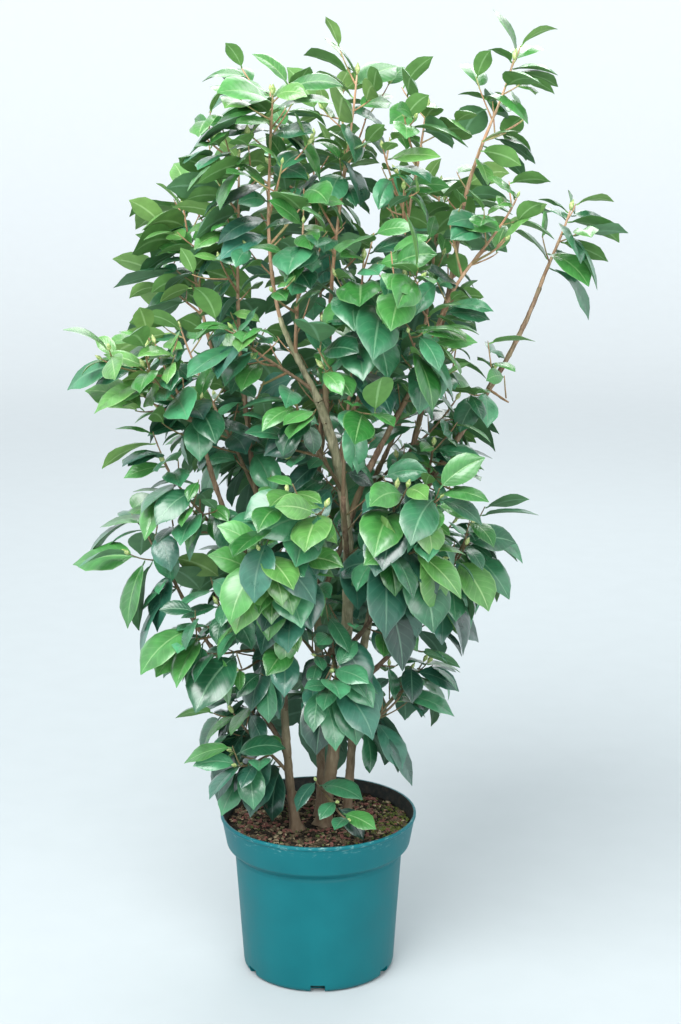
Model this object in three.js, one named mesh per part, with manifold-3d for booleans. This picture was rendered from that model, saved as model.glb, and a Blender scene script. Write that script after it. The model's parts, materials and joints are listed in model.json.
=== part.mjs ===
/**
 * Camellia shrub in a nursery pot.
 *
 * Millimetres, +Z up, +Y away from the front. The origin is the centre of the pot's flat underside.
 * Four woody stems rise out of the compost and carry tapering boughs. Each bough ends in a leafy
 * shoot, and more shoots leave the sides of the stems and boughs. Every shoot grows by one seeded
 * rule, inside the space that lies nearer to its own stem than to any other shoot's.
 */
import * as THREE from "three";
import { mergeVertices } from "three/addons/utils/BufferGeometryUtils.js";
import Module from "manifold-3d";

const wasm = await Module();
wasm.setup();

// ---------------------------------------------------------------- driving dimensions

const GAP = 0.3; // clearance between neighbouring solids
const SEAM_TOLERANCE = 0.07; // slivers thinner than this, where leaves fuse to a twig, are merged away

const POT = {
  height: 180,
  rimRadius: 110, // outside of the collar's top edge
  collarFootRadius: 103,
  collarHeight: 35,
  shoulderDrop: 7, // height of the slope that steps in under the collar
  shoulderRadius: 94.5,
  baseRadius: 85,
  baseRounding: 7,
  wall: 2,
  lip: 1.2, // how far the rolled edge stands out
  floor: 3,
  sides: 28,
};

const DRAIN = { corners: 6, width: 16, height: 9, depth: 12, inner: 4, innerRadius: 7, innerRing: 42 };

const COMPOST = {
  surface: 162,
  flatRadius: 52, // the level middle that the stems stand on
  heave: 3, // unevenness of the surface outside it
  clearance: 0.5,
};

const WOOD = { flare: 4.5, flareHeight: 11, sides: 8, boughSides: 5, sunk: 8 };

// Stems: where they leave the compost [x, y], two bend points, the fork, and radii at foot and fork.
const STEMS = {
  trunk: { foot: [6, 0], bends: [[24, 8, 320], [60, -20, 500]], tip: [2, -30, 648], radii: [7.4, 4.8] },
  stem_left: {
    foot: [-24, -12],
    bends: [[-38, -20, 240], [-32, -32, 310]],
    tip: [-44, -32, 380],
    radii: [5, 4],
  },
  stem_right: { foot: [32, 12], bends: [[38, 16, 260], [44, 26, 370]], tip: [72, 24, 450], radii: [5, 4] },
  stem_back: { foot: [2, 28], bends: [[4, 44, 250], [0, 82, 350]], tip: [-4, 92, 440], radii: [5, 4] },
};

// Boughs: parent limb, place along it (1 is its tip), the bough's own tip, and radii at base and tip.
const BOUGHS = {
  bough_centre_left: { parent: "trunk", at: 1, tip: [-38, -42, 738], radii: [3.9, 2.3] },
  bough_centre: { parent: "trunk", at: 0.95, tip: [14, 0, 740], radii: [3.7, 2.3] },
  bough_mid_right: { parent: "trunk", at: 0.84, tip: [76, -8, 742], radii: [3.4, 2.2] },
  bough_upper_right: { parent: "trunk", at: 0.7, tip: [130, -26, 736], radii: [3.5, 2.2] },
  bough_front_high: { parent: "trunk", at: 0.56, tip: [28, -76, 556], radii: [3.2, 2.2] },
  bough_front_right: { parent: "trunk", at: 0.4, tip: [60, -70, 430], radii: [3.1, 2.1] },
  bough_left: { parent: "stem_left", at: 1, tip: [-114, -56, 590], radii: [3.9, 2.3] },
  bough_upper_left: { parent: "stem_left", at: 0.9, tip: [-82, 6, 690], radii: [3.5, 2.2] },
  bough_front: { parent: "stem_left", at: 0.66, tip: [-28, -86, 408], radii: [3, 2.1] },
  bough_low_left: { parent: "stem_left", at: 0.4, tip: [-146, -24, 432], radii: [3, 2] },
  bough_right: { parent: "stem_right", at: 1, tip: [236, 0, 766], radii: [3.8, 2.2] },
  bough_upright: { parent: "stem_right", at: 0.9, tip: [156, 26, 850], radii: [3.5, 2.1] },
  bough_low_right: { parent: "stem_right", at: 0.5, tip: [106, -8, 398], radii: [3, 2] },
  bough_back_left: { parent: "stem_back", at: 1, tip: [-114, 100, 668], radii: [3.7, 2.2] },
  bough_back: { parent: "stem_back", at: 0.93, tip: [4, 110, 672], radii: [3.5, 2.2] },
  bough_back_right: { parent: "stem_back", at: 0.8, tip: [108, 100, 656], radii: [3.4, 2.2] },
  bough_low_back: { parent: "stem_back", at: 0.5, tip: [28, 122, 384], radii: [3, 2] },
};

// Shoots: parent limb, place along it, the leading tip, side twigs, and vigour: 1 is a leafy shoot.
const SHOOTS = {
  foliage_top_left: { parent: "bough_centre_left", at: 1, tip: [-46, -42, 966], twigs: 4, vigour: 1 },
  foliage_top_centre: { parent: "bough_centre", at: 1, tip: [42, 4, 984], twigs: 4, vigour: 1 },
  foliage_top_mid: { parent: "bough_mid_right", at: 1, tip: [114, -6, 950], twigs: 3, vigour: 1 },
  foliage_top_right: { parent: "bough_upright", at: 1, tip: [206, 26, 1000], twigs: 1, vigour: 0.8 },
  foliage_upper_right: { parent: "bough_upper_right", at: 1, tip: [206, -38, 860], twigs: 2, vigour: 1 },
  foliage_far_right: { parent: "bough_right", at: 1, tip: [266, 0, 846], twigs: 0, vigour: 0.9 },
  foliage_upper_left: { parent: "bough_upper_left", at: 1, tip: [-82, 14, 900], twigs: 3, vigour: 1 },
  foliage_back_left_top: { parent: "bough_back_left", at: 1, tip: [-150, 112, 846], twigs: 3, vigour: 1 },
  foliage_back_top: { parent: "bough_back", at: 1, tip: [-6, 112, 915], twigs: 3, vigour: 1 },
  foliage_back_right_top: { parent: "bough_back_right", at: 1, tip: [136, 116, 868], twigs: 3, vigour: 1 },
  foliage_left: { parent: "bough_left", at: 1, tip: [-166, -60, 712], twigs: 3, vigour: 1 },
  foliage_left_inner: { parent: "bough_upper_left", at: 0.55, tip: [-148, 30, 720], twigs: 2, vigour: 1 },
  foliage_left_mid: { parent: "bough_left", at: 0.42, tip: [-158, -70, 588], twigs: 2, vigour: 1 },
  foliage_centre_front: { parent: "bough_front_high", at: 1, tip: [48, -104, 800], twigs: 3, vigour: 1 },
  foliage_centre: { parent: "bough_centre_left", at: 0.55, tip: [-12, -98, 836], twigs: 2, vigour: 1 },
  foliage_centre_left: { parent: "bough_centre_left", at: 0.1, tip: [-84, -88, 730], twigs: 2, vigour: 1 },
  foliage_centre_right: { parent: "bough_upper_right", at: 0.5, tip: [122, -92, 724], twigs: 3, vigour: 1 },
  foliage_right_mid: { parent: "bough_right", at: 0.6, tip: [186, -44, 684], twigs: 1, vigour: 0.8 },
  foliage_right_inner: { parent: "bough_right", at: 0.26, tip: [122, -58, 606], twigs: 2, vigour: 1 },
  foliage_back_mid_left: { parent: "bough_back_left", at: 0.42, tip: [-118, 124, 620], twigs: 2, vigour: 1 },
  foliage_back_mid: { parent: "bough_back", at: 0.45, tip: [18, 168, 680], twigs: 3, vigour: 1 },
  foliage_back_mid_right: { parent: "bough_back_right", at: 0.5, tip: [156, 112, 630], twigs: 2, vigour: 1 },
  foliage_heart: { parent: "trunk", at: 0.78, tip: [-20, -106, 654], twigs: 2, vigour: 1 },
  foliage_front: { parent: "bough_front", at: 1, tip: [-28, -120, 545], twigs: 3, vigour: 1 },
  foliage_front_right: { parent: "bough_front_right", at: 1, tip: [82, -112, 570], twigs: 3, vigour: 1 },
  foliage_low_left: { parent: "bough_low_left", at: 1, tip: [-186, -26, 512], twigs: 0, vigour: 1 },
  foliage_low_right: { parent: "bough_low_right", at: 1, tip: [166, -12, 508], twigs: 2, vigour: 1 },
  foliage_skirt_left: { parent: "stem_left", at: 0.8, tip: [-104, -80, 440], twigs: 3, vigour: 1 },
  foliage_skirt_front: { parent: "trunk", at: 0.3, tip: [16, -98, 414], twigs: 3, vigour: 1 },
  foliage_low_back: { parent: "bough_low_back", at: 1, tip: [48, 142, 525], twigs: 3, vigour: 1 },
  foliage_skirt_back_left: { parent: "stem_back", at: 0.62, tip: [-98, 92, 460], twigs: 3, vigour: 1 },
  foliage_skirt_back_right: { parent: "stem_right", at: 0.78, tip: [120, 86, 470], twigs: 2, vigour: 1 },
  foliage_foot_left: { parent: "stem_left", at: 0.3, tip: [-92, -36, 306], twigs: 2, vigour: 1 },
  foliage_foot_front: { parent: "trunk", at: 0.07, tip: [-2, -46, 232], twigs: 2, vigour: 0.8 },
  foliage_foot_right: { parent: "stem_right", at: 0.32, tip: [92, -20, 322], twigs: 2, vigour: 1 },
  foliage_foot_back: { parent: "stem_back", at: 0.28, tip: [6, 106, 300], twigs: 2, vigour: 1 },
};

const LEAF = {
  length: [80, 102],
  widthShare: [0.52, 0.62],
  keel: 2.2, // depth of the solid leaf's keel under its face
  fold: 0.14, // rise of the margin over the midrib, as a share of the half width
  plump: 1.12, // widens the solid leaf, whose outline has few corners
  bands: [0, 0.34, 0.74, 1], // where along a leaf its solid has corners
  tries: 12,
  shrink: 0.04, // each further try at a place is a smaller leaf
};

// How far a leaf turns its heading and its face to the light, which comes from above and outside.
// Nearer to the middle than shade, little light comes from outside.
const LIGHT = { outward: 0.95, upward: 0.8, heading: 0.3, roll: 0.7, shade: 60 };

const TWIG = {
  radii: [2.1, 1], // leading stem, base and tip
  steps: 3,
  sideRadii: [1.5, 0.9],
  sideSteps: 1,
  sideLength: [62, 96],
  leafSpacing: 18.5,
  tipSpacing: 9,
  bareShare: 0.12, // share of the leading stem, from its base, that carries no leaf
  sideBareShare: 0.2,
};

const SPACE = { reach: 125, margin: 1.2, limbClearance: 4.5, twigClearance: 3.5, leafClearance: 9 };

const COLOURS = {
  pot: { color: 0x1f8a83, roughness: 0.55 },
  compost: { color: 0x3b2a22, roughness: 1 },
  bark: { color: 0x7d6a52, roughness: 0.9 },
  leaf: { color: 0x2f7a3c, roughness: 0.4 },
};

const UP = new THREE.Vector3(0, 0, 1);
const AWAY = new THREE.Vector3(0, 1, 0);
const GOLDEN_ANGLE = Math.PI * (3 - Math.sqrt(5));

// ---------------------------------------------------------------- small helpers

const lerp = THREE.MathUtils.lerp;
const radians = THREE.MathUtils.degToRad;

/** A repeatable stream of numbers from 0 to 1. */
function seededRandom(seed) {
  let state = seed >>> 0;
  return () => {
    state = (state + 0x6d2b79f5) >>> 0;
    let mixed = Math.imul(state ^ (state >>> 15), state | 1);
    mixed ^= mixed + Math.imul(mixed ^ (mixed >>> 7), mixed | 61);
    return ((mixed ^ (mixed >>> 14)) >>> 0) / 4294967296;
  };
}

/** A closed geometry as a manifold-3d solid. */
function solidOf(geometry) {
  const bare = new THREE.BufferGeometry().setAttribute("position", geometry.getAttribute("position"));
  if (geometry.index) bare.setIndex(geometry.index);
  const merged = mergeVertices(bare, 1e-4);
  return new wasm.Manifold(
    new wasm.Mesh({
      numProp: 3,
      vertProperties: new Float32Array(merged.attributes.position.array),
      triVerts: new Uint32Array(merged.index.array),
    }),
  );
}

/** The largest body of a solid: a scrap that a cut leaves behind is dropped. */
function largestBody(solid) {
  return solid.decompose().reduce((best, body) => (body.volume() > best.volume() ? body : best));
}

/** A manifold-3d solid as a named mesh. */
function meshOf(name, solid, look) {
  const made = solid.getMesh();
  const corners = new Float32Array(made.numVert * 3);
  for (let i = 0; i < made.numVert; i++) {
    corners.set(made.vertProperties.subarray(i * made.numProp, i * made.numProp + 3), i * 3);
  }
  const geometry = new THREE.BufferGeometry()
    .setAttribute("position", new THREE.BufferAttribute(corners, 3))
    .setIndex(new THREE.BufferAttribute(made.triVerts, 1));
  geometry.computeVertexNormals();
  const mesh = new THREE.Mesh(geometry, new THREE.MeshStandardMaterial({ ...look, metalness: 0 }));
  mesh.name = name;
  return mesh;
}

/** A unit vector turned by an angle towards another that is square to it. */
function turned(vector, towards, angle) {
  return vector.clone().multiplyScalar(Math.cos(angle)).addScaledVector(towards, Math.sin(angle));
}

/** Two unit vectors square to a limb's direction. */
function squareTo(direction) {
  const over = AWAY.clone().addScaledVector(direction, -AWAY.dot(direction)).normalize();
  const across = new THREE.Vector3().crossVectors(direction, over);
  return { across, over };
}

/** A round bar of changing radius: a lathe turned on a unit axis, then bent to the curve. */
function taperedBar(curve, radiusAt, sides, steps, from = 0, to = 1) {
  const profile = [new THREE.Vector2(0, 0)];
  for (let i = 0; i <= steps; i++) {
    profile.push(new THREE.Vector2(radiusAt(lerp(from, to, i / steps)), i / steps));
  }
  profile.push(new THREE.Vector2(0, 1));
  const lathe = new THREE.LatheGeometry(profile, sides);
  const position = lathe.getAttribute("position");
  for (let i = 0; i < position.count; i++) {
    const t = lerp(from, to, position.getY(i));
    const { across, over } = squareTo(curve.getTangent(THREE.MathUtils.clamp(t, 0, 1)));
    const place = curve.getPoint(t);
    place.addScaledVector(across, position.getX(i)).addScaledVector(over, position.getZ(i));
    position.setXYZ(i, place.x, place.y, place.z);
  }
  return lathe;
}

// ---------------------------------------------------------------- pot and compost

/** Outer radius of the pot's wall under its collar, at a height. */
function wallRadius(z) {
  const top = POT.height - POT.collarHeight - POT.shoulderDrop;
  return lerp(POT.baseRadius, POT.shoulderRadius, THREE.MathUtils.clamp(z / top, 0, 1));
}

function buildPot() {
  const { height, rimRadius, collarFootRadius, wall, lip, floor, baseRadius, baseRounding } = POT;
  const collarFoot = height - POT.collarHeight;
  const shoulderFoot = collarFoot - POT.shoulderDrop;
  const outline = [[0, 0], [baseRadius - baseRounding, 0]];
  const roundingSteps = 2;
  for (let i = 1; i <= roundingSteps; i++) {
    const turn = (Math.PI / 2) * (i / roundingSteps);
    outline.push([
      wallRadius(0) - baseRounding * (1 - Math.sin(turn)),
      baseRounding * (1 - Math.cos(turn)),
    ]);
  }
  outline.push(
    [POT.shoulderRadius, shoulderFoot],
    [collarFootRadius, collarFoot],
    [rimRadius - lip, height - 3 * lip],
    [rimRadius, height - 2 * lip],
    [rimRadius, height],
    [rimRadius - lip - wall, height],
    [collarFootRadius - wall, collarFoot],
    [POT.shoulderRadius - wall, shoulderFoot],
    [baseRadius - wall, baseRounding],
    [baseRadius - baseRounding, floor],
    [0, floor],
  );
  const points = outline.map(([r, z]) => new THREE.Vector2(r, z));
  const shell = solidOf(new THREE.LatheGeometry(points, POT.sides).rotateX(Math.PI / 2));
  const drains = [];
  for (let i = 0; i < DRAIN.corners; i++) {
    const slot = new THREE.BoxGeometry(2 * DRAIN.depth, DRAIN.width, 2 * DRAIN.height);
    const angle = (2 * Math.PI * (i + 0.5)) / DRAIN.corners;
    drains.push(slot.translate(baseRadius, 0, 0).rotateZ(angle));
  }
  for (let i = 0; i < DRAIN.inner; i++) {
    const bore = new THREE.CylinderGeometry(DRAIN.innerRadius, DRAIN.innerRadius, 4 * floor, 10);
    const angle = (2 * Math.PI * i) / DRAIN.inner;
    drains.push(bore.rotateX(Math.PI / 2).translate(DRAIN.innerRing, 0, 0).rotateZ(angle));
  }
  return drains.reduce((pot, drain) => pot.subtract(solidOf(drain)), shell);
}

/** The root ball: it fills the pot to just under the rim, level in the middle and uneven outside it. */
function buildCompost() {
  const { surface, flatRadius, heave, clearance } = COMPOST;
  const collarFoot = POT.height - POT.collarHeight;
  const shoulderFoot = collarFoot - POT.shoulderDrop;
  const inset = POT.wall + clearance;
  const upCollar = (surface - collarFoot) / POT.collarHeight;
  const edge = lerp(POT.collarFootRadius, POT.rimRadius - POT.lip, upCollar) - inset - 1.5;
  const outline = [
    [0, POT.floor + clearance],
    [POT.baseRadius - POT.baseRounding - 2, POT.floor + clearance],
    [POT.baseRadius - inset - 1, POT.baseRounding + 2],
    [POT.shoulderRadius - inset, shoulderFoot - 0.5],
    [POT.collarFootRadius - inset - 1, collarFoot + 1],
    [edge, surface - heave],
    [lerp(flatRadius, edge, 0.5), surface],
    [flatRadius, surface],
    [0, surface],
  ];
  const points = outline.map(([r, z]) => new THREE.Vector2(r, z));
  const ball = new THREE.LatheGeometry(points, POT.sides).rotateX(Math.PI / 2);
  const position = ball.getAttribute("position");
  for (let i = 0; i < position.count; i++) {
    const [x, y, z] = [position.getX(i), position.getY(i), position.getZ(i)];
    const outside = Math.hypot(x, y) - flatRadius;
    if (z > collarFoot + 1 && outside > 1) {
      const angle = Math.atan2(y, x);
      position.setZ(i, z + heave * 0.8 * Math.sin(5 * angle + outside) * Math.cos(3 * angle));
    }
  }
  return solidOf(ball);
}

// ---------------------------------------------------------------- limbs

/**
 * A limb's centre line: it leaves its parent between the parent's direction and its own chord, and
 * turns towards the light at its tip.
 */
function limbCurve(start, parentDirection, tip, lean, lift) {
  const chord = tip.clone().sub(start);
  const length = chord.length();
  chord.divideScalar(length);
  const leaving = chord.clone().multiplyScalar(1 - lean).addScaledVector(parentDirection, lean).normalize();
  const arriving = chord.clone().addScaledVector(UP, lift).normalize();
  return new THREE.CubicBezierCurve3(
    start,
    start.clone().addScaledVector(leaving, 0.38 * length),
    tip.clone().addScaledVector(arriving, -0.34 * length),
    tip,
  );
}

/** Where a child limb or shoot starts: just past its parent's tip, or on the parent's centre line. */
function startOn(parent, at) {
  const direction = parent.curve.getTangent(at);
  const start = parent.curve.getPoint(at);
  if (at === 1) start.addScaledVector(direction, GAP);
  return { start, direction };
}

const limbs = {};

for (const [name, { foot, bends, tip, radii }] of Object.entries(STEMS)) {
  const places = [[...foot, COMPOST.surface], ...bends, tip];
  const curve = new THREE.CubicBezierCurve3(...places.map((place) => new THREE.Vector3(...place)));
  const radiusAt = (t) => {
    const above = Math.max(0, t) * (tip[2] - COMPOST.surface);
    return lerp(...radii, t) + WOOD.flare * Math.exp(-above / WOOD.flareHeight);
  };
  limbs[name] = { curve, radiusAt, sides: WOOD.sides, steps: 8, stem: true };
}

for (const [name, { parent, at, tip, radii }] of Object.entries(BOUGHS)) {
  const { start, direction } = startOn(limbs[parent], at);
  const curve = limbCurve(start, direction, new THREE.Vector3(...tip), at === 1 ? 0.7 : 0.3, 0.5);
  limbs[name] = { curve, radiusAt: (t) => lerp(...radii, t), sides: WOOD.boughSides, steps: 4 };
}

/** A limb's solid, grown by a clearance all round. */
function limbSolid({ curve, radiusAt, sides, steps, stem }, clearance) {
  const length = curve.getLength();
  const below = stem ? WOOD.sunk / length : clearance / length;
  const grown = (t) => radiusAt(t) + clearance;
  return solidOf(taperedBar(curve, grown, sides, steps, -below, 1 + clearance / length));
}

// ---------------------------------------------------------------- shoots

/** Distance from a point to the segment from a to b. */
function distanceToSegment(point, a, b) {
  const along = b.clone().sub(a);
  const share = point.clone().sub(a).dot(along) / along.lengthSq();
  return point.distanceTo(a.clone().addScaledVector(along, THREE.MathUtils.clamp(share, 0, 1)));
}

/** A curve as straight pieces with the radius at each piece's start. */
function chain(curve, radiusAt, pieces) {
  const made = [];
  for (let i = 0; i < pieces; i++) {
    const t = i / pieces;
    made.push({ a: curve.getPoint(t), b: curve.getPoint((i + 1) / pieces), radius: radiusAt(t) });
  }
  return made;
}

/** A point on the straight steps that an axis's bar is made of, so that what roots there is fused. */
function pointOnBar({ curve, steps }, t) {
  const step = Math.min(steps - 1, Math.floor(t * steps));
  return curve.getPoint(step / steps).lerp(curve.getPoint((step + 1) / steps), t * steps - step);
}

/** Smallest distance from a point to the surface of any piece of a chain. */
function clearOf(point, pieces) {
  return Math.min(...pieces.map(({ a, b, radius }) => distanceToSegment(point, a, b) - radius));
}

/** Half width of a leaf at a share of its length, as a share of its greatest half width. */
function leafOutline(share) {
  return Math.pow(Math.max(0, Math.sin(Math.PI * Math.pow(share, 0.9))), 0.8);
}

/**
 * A point of a leaf. The midrib is an arc in an upright plane: it starts at the leaf's pitch and bends
 * down by its droop. side runs from -1 to 1 across the blade, and lift is a height over its face.
 */
function leafPoint(leaf, share, side, lift) {
  const slope = leaf.pitch - leaf.droop * share;
  const forward = (leaf.length * (Math.sin(leaf.pitch) - Math.sin(slope))) / leaf.droop;
  const rise = (leaf.length * (Math.cos(slope) - Math.cos(leaf.pitch))) / leaf.droop;
  const heading = new THREE.Vector3(Math.cos(leaf.heading), Math.sin(leaf.heading), 0);
  const level = new THREE.Vector3(-heading.y, heading.x, 0);
  const face = turned(UP, heading, -slope);
  const across = turned(level, face, leaf.roll);
  const normal = turned(face, level, -leaf.roll);
  const half = 0.5 * leaf.width * leafOutline(share);
  return leaf.root
    .clone()
    .addScaledVector(heading, forward)
    .addScaledVector(UP, rise)
    .addScaledVector(across, side * half)
    .addScaledVector(normal, LEAF.fold * Math.abs(side) * half + lift);
}

/** Points spread over a leaf's face, for the tests that keep it clear of things. */
function leafSamples(leaf, rows, columns) {
  const samples = [];
  for (let row = 1; row <= rows; row++) {
    for (let column = 0; column < columns; column++) {
      samples.push(leafPoint(leaf, row / rows, (2 * column) / (columns - 1) - 1, 0));
    }
  }
  return samples;
}

const limbChains = Object.fromEntries(
  Object.entries(limbs).map(([name, limb]) => [name, chain(limb.curve, limb.radiusAt, 12)]),
);

const shoots = Object.entries(SHOOTS).map(([name, spec], index) => {
  const { start, direction } = startOn(limbs[spec.parent], spec.at);
  const curve = limbCurve(start, direction, new THREE.Vector3(...spec.tip), spec.at === 1 ? 0.8 : 0.1, 0.35);
  return { ...spec, name, index, curve, spine: chain(curve, () => 0, 6) };
});

/** Whether a point lies in a shoot's own space: within reach, and nearer to it than to any other. */
function inSpace(point, shoot) {
  const own = clearOf(point, shoot.spine);
  if (own > SPACE.reach) return false;
  return shoots.every((other) => other === shoot || clearOf(point, other.spine) > own + SPACE.margin);
}

/** Whether a point is clear of every limb. */
function clearOfLimbs(point, clearance) {
  return Object.values(limbChains).every((pieces) => clearOf(point, pieces) > clearance);
}

/** Above the compost and, lower than the rim, inside it. */
function aboveGround(point) {
  const nearRim = Math.hypot(point.x, point.y) > POT.rimRadius - 14;
  return point.z > (nearRim ? POT.height + 6 : COMPOST.surface + 8);
}

/** The side twigs of a shoot, spiralling up its leading stem. */
function growTwigs(shoot, leading) {
  const length = shoot.curve.getLength();
  const twigs = [];
  for (let i = 0; i < shoot.twigs; i++) {
    const random = seededRandom(7919 * (shoot.index + 1) + 101 * i);
    const place = lerp(0.2, 0.72, (0.45 + i * (GOLDEN_ANGLE / Math.PI)) % 1);
    for (let attempt = 0; attempt < LEAF.tries; attempt++) {
      const turn = GOLDEN_ANGLE * (i + shoot.index) + lerp(-0.7, 0.7, random()) * (1 + attempt);
      const spread = radians(lerp(42, 62, random()));
      const reach = lerp(...TWIG.sideLength, random()) * (1 - 0.08 * attempt);
      const direction = shoot.curve.getTangent(place);
      const { across, over } = squareTo(direction);
      const heading = turned(direction, turned(across, over, turn), spread);
      const start = pointOnBar(leading, place);
      const tip = start.clone().addScaledVector(heading, reach).addScaledVector(UP, 0.12 * reach);
      const curve = limbCurve(start, heading, tip, 0.5, 0.3);
      const probes = [0.25, 0.5, 0.75, 1].map((t) => curve.getPoint(t));
      if (
        length > 0.6 * reach &&
        probes.every((p) => inSpace(p, shoot) && clearOfLimbs(p, SPACE.twigClearance) && aboveGround(p))
      ) {
        twigs.push({ curve, radii: TWIG.sideRadii, steps: TWIG.sideSteps, bareShare: TWIG.sideBareShare });
        break;
      }
    }
  }
  return twigs;
}

/** Pitch of a leaf by its order down from the tip: young leaves stand up, old and low ones hang. */
function leafPitch(order, height, random) {
  const young = radians(38) * Math.exp(-order / 2);
  const old = radians(lerp(-44, -2, THREE.MathUtils.clamp((height - 250) / 700, 0, 1)));
  return young + old + radians(lerp(-20, 20, random()));
}

/** The roll that turns a leaf's face to the light, from its heading and its slope halfway along. */
function rollToLight(heading, slope, outward) {
  const light = outward.clone().multiplyScalar(LIGHT.outward).addScaledVector(UP, LIGHT.upward);
  const level = new THREE.Vector3(-Math.sin(heading), Math.cos(heading), 0);
  const forward = new THREE.Vector3(Math.cos(heading), Math.sin(heading), 0);
  const face = turned(UP, forward, -slope);
  return Math.atan2(-level.dot(light), Math.max(0.2, face.dot(light)));
}

/** A leaf as it would grow at one place of an axis: order counts down from the axis's tip. */
function shapeLeaf(root, direction, turn, order, scale, random) {
  const { across, over } = squareTo(direction);
  const outward = new THREE.Vector3(root.x, root.y, 0);
  outward.divideScalar(Math.max(LIGHT.shade, outward.length()));
  const towards = turned(across, over, turn).multiplyScalar(0.85);
  towards.addScaledVector(direction, 0.5).addScaledVector(outward, LIGHT.heading).normalize();
  const young = Math.exp(-order / 1.4);
  const size = lerp(...LEAF.length, random()) * (1 - 0.34 * young) * scale;
  const heading = Math.atan2(towards.y, towards.x);
  const pitch = 0.4 * Math.asin(towards.z) + leafPitch(order, root.z, random);
  const droop = radians(lerp(24, 66, random()));
  const tilt = radians(lerp(-20, 20, random()));
  const roll = LIGHT.roll * rollToLight(heading, pitch - 0.5 * droop, outward) + tilt;
  const width = size * lerp(...LEAF.widthShare, random()) * (1 - 0.2 * young);
  return { root, heading, pitch, droop, roll, length: size, width };
}

/** The leaf at one place on an axis, or null where none fits. */
function growLeaf(shoot, axis, place, order, axisIndex, axes, leaves) {
  const random = seededRandom(104729 * (shoot.index + 1) + 3571 * axisIndex + 37 * order);
  const root = pointOnBar(axis, place);
  const direction = axis.curve.getTangent(place);
  const otherAxes = axes.filter((a) => a !== axis).flatMap((a) => a.chain);
  const clearOfLeaves = (p) =>
    leaves.every((leaf) => leaf.samples.every((q) => p.distanceTo(q) > SPACE.leafClearance));
  for (let attempt = 0; attempt < LEAF.tries; attempt++) {
    const turn = GOLDEN_ANGLE * order + axisIndex + lerp(-0.5, 0.5, random()) * (1 + attempt);
    const scale = lerp(0.85, 1, shoot.vigour) * (1 - LEAF.shrink * attempt);
    const leaf = shapeLeaf(root, direction, turn, order, scale, random);
    const samples = leafSamples(leaf, 4, 3);
    const fine = leafSamples(leaf, 8, 5);
    if (
      samples.every((p) => inSpace(p, shoot) && aboveGround(p) && clearOfLeaves(p)) &&
      fine.slice(5).every((p) => clearOfLimbs(p, SPACE.limbClearance)) &&
      fine.slice(10).every((p) => clearOf(p, axis.chain) > SPACE.twigClearance) &&
      fine.every((p) => clearOf(p, otherAxes) > SPACE.twigClearance)
    ) {
      return { ...leaf, samples };
    }
  }
  return null;
}

/** A shoot's axes and leaves. Leaves are set from each axis's tip down, close together at the tip. */
function growShoot(shoot) {
  const leading = { curve: shoot.curve, radii: TWIG.radii, steps: TWIG.steps, bareShare: TWIG.bareShare };
  const axes = [leading, ...growTwigs(shoot, leading)];
  for (const axis of axes) {
    axis.chain = chain(axis.curve, (t) => lerp(...axis.radii, t), axis.steps);
  }
  const leaves = [];
  axes.forEach((axis, axisIndex) => {
    const length = axis.curve.getLength();
    let down = 3;
    for (let order = 0; 1 - down / length > axis.bareShare; order++) {
      const leaf = growLeaf(shoot, axis, 1 - down / length, order, axisIndex, axes, leaves);
      if (leaf) leaves.push(leaf);
      down += lerp(TWIG.tipSpacing, TWIG.leafSpacing, Math.min(1, order / 3)) / shoot.vigour;
    }
  });
  return { axes, leaves };
}

/**
 * A leaf's solid of twelve faces: a lathe of three sides and three bands, laid over the blade, with
 * two flat sides above and a keel below. Its root is on the twig's centre line.
 */
function leafSolid(leaf) {
  const profile = LEAF.bands.map((share, i) => new THREE.Vector2(i % (LEAF.bands.length - 1) ? 1 : 0, share));
  const lathe = new THREE.LatheGeometry(profile, 3);
  const position = lathe.getAttribute("position");
  const edge = Math.sin(Math.PI / 3);
  for (let i = 0; i < position.count; i++) {
    const keel = position.getZ(i) > 0.5 ? -LEAF.keel : 0;
    const place = leafPoint(leaf, position.getY(i), (position.getX(i) / edge) * LEAF.plump, keel);
    position.setXYZ(i, place.x, place.y, place.z);
  }
  return solidOf(lathe);
}

/** A shoot's axes and leaves fused into one body. */
function fuseShoot({ axes, leaves }) {
  const parts = axes.map(({ curve, radii, steps }) =>
    solidOf(taperedBar(curve, (t) => lerp(...radii, t), 3, steps)),
  );
  return largestBody(wasm.Manifold.union([...parts, ...leaves.map(leafSolid)]));
}

// ---------------------------------------------------------------- assembly

const shrub = new THREE.Group();
shrub.name = "camellia_shrub";

const pot = new THREE.Group();
pot.add(meshOf("pot", buildPot(), COLOURS.pot), meshOf("compost", buildCompost(), COLOURS.compost));

const wood = new THREE.Group();
const ground = new THREE.BoxGeometry(2 * POT.rimRadius, 2 * POT.rimRadius, POT.height);
const belowGround = solidOf(ground.translate(0, 0, COMPOST.surface + GAP - POT.height / 2));
const grownLimbs = [];
for (const [name, limb] of Object.entries(limbs)) {
  let solid = limbSolid(limb, 0);
  if (limb.stem) solid = solid.subtract(belowGround);
  for (const grown of grownLimbs) solid = solid.subtract(grown);
  wood.add(meshOf(name, largestBody(solid), COLOURS.bark));
  grownLimbs.push(limbSolid(limb, GAP));
}

const foliage = new THREE.Group();
for (const shoot of shoots) {
  const cut = grownLimbs.reduce((left, limb) => left.subtract(limb), fuseShoot(growShoot(shoot)));
  foliage.add(meshOf(shoot.name, largestBody(cut.asOriginal().simplify(SEAM_TOLERANCE)), COLOURS.leaf));
}

shrub.add(pot, wood, foliage);
export default shrub;
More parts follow.
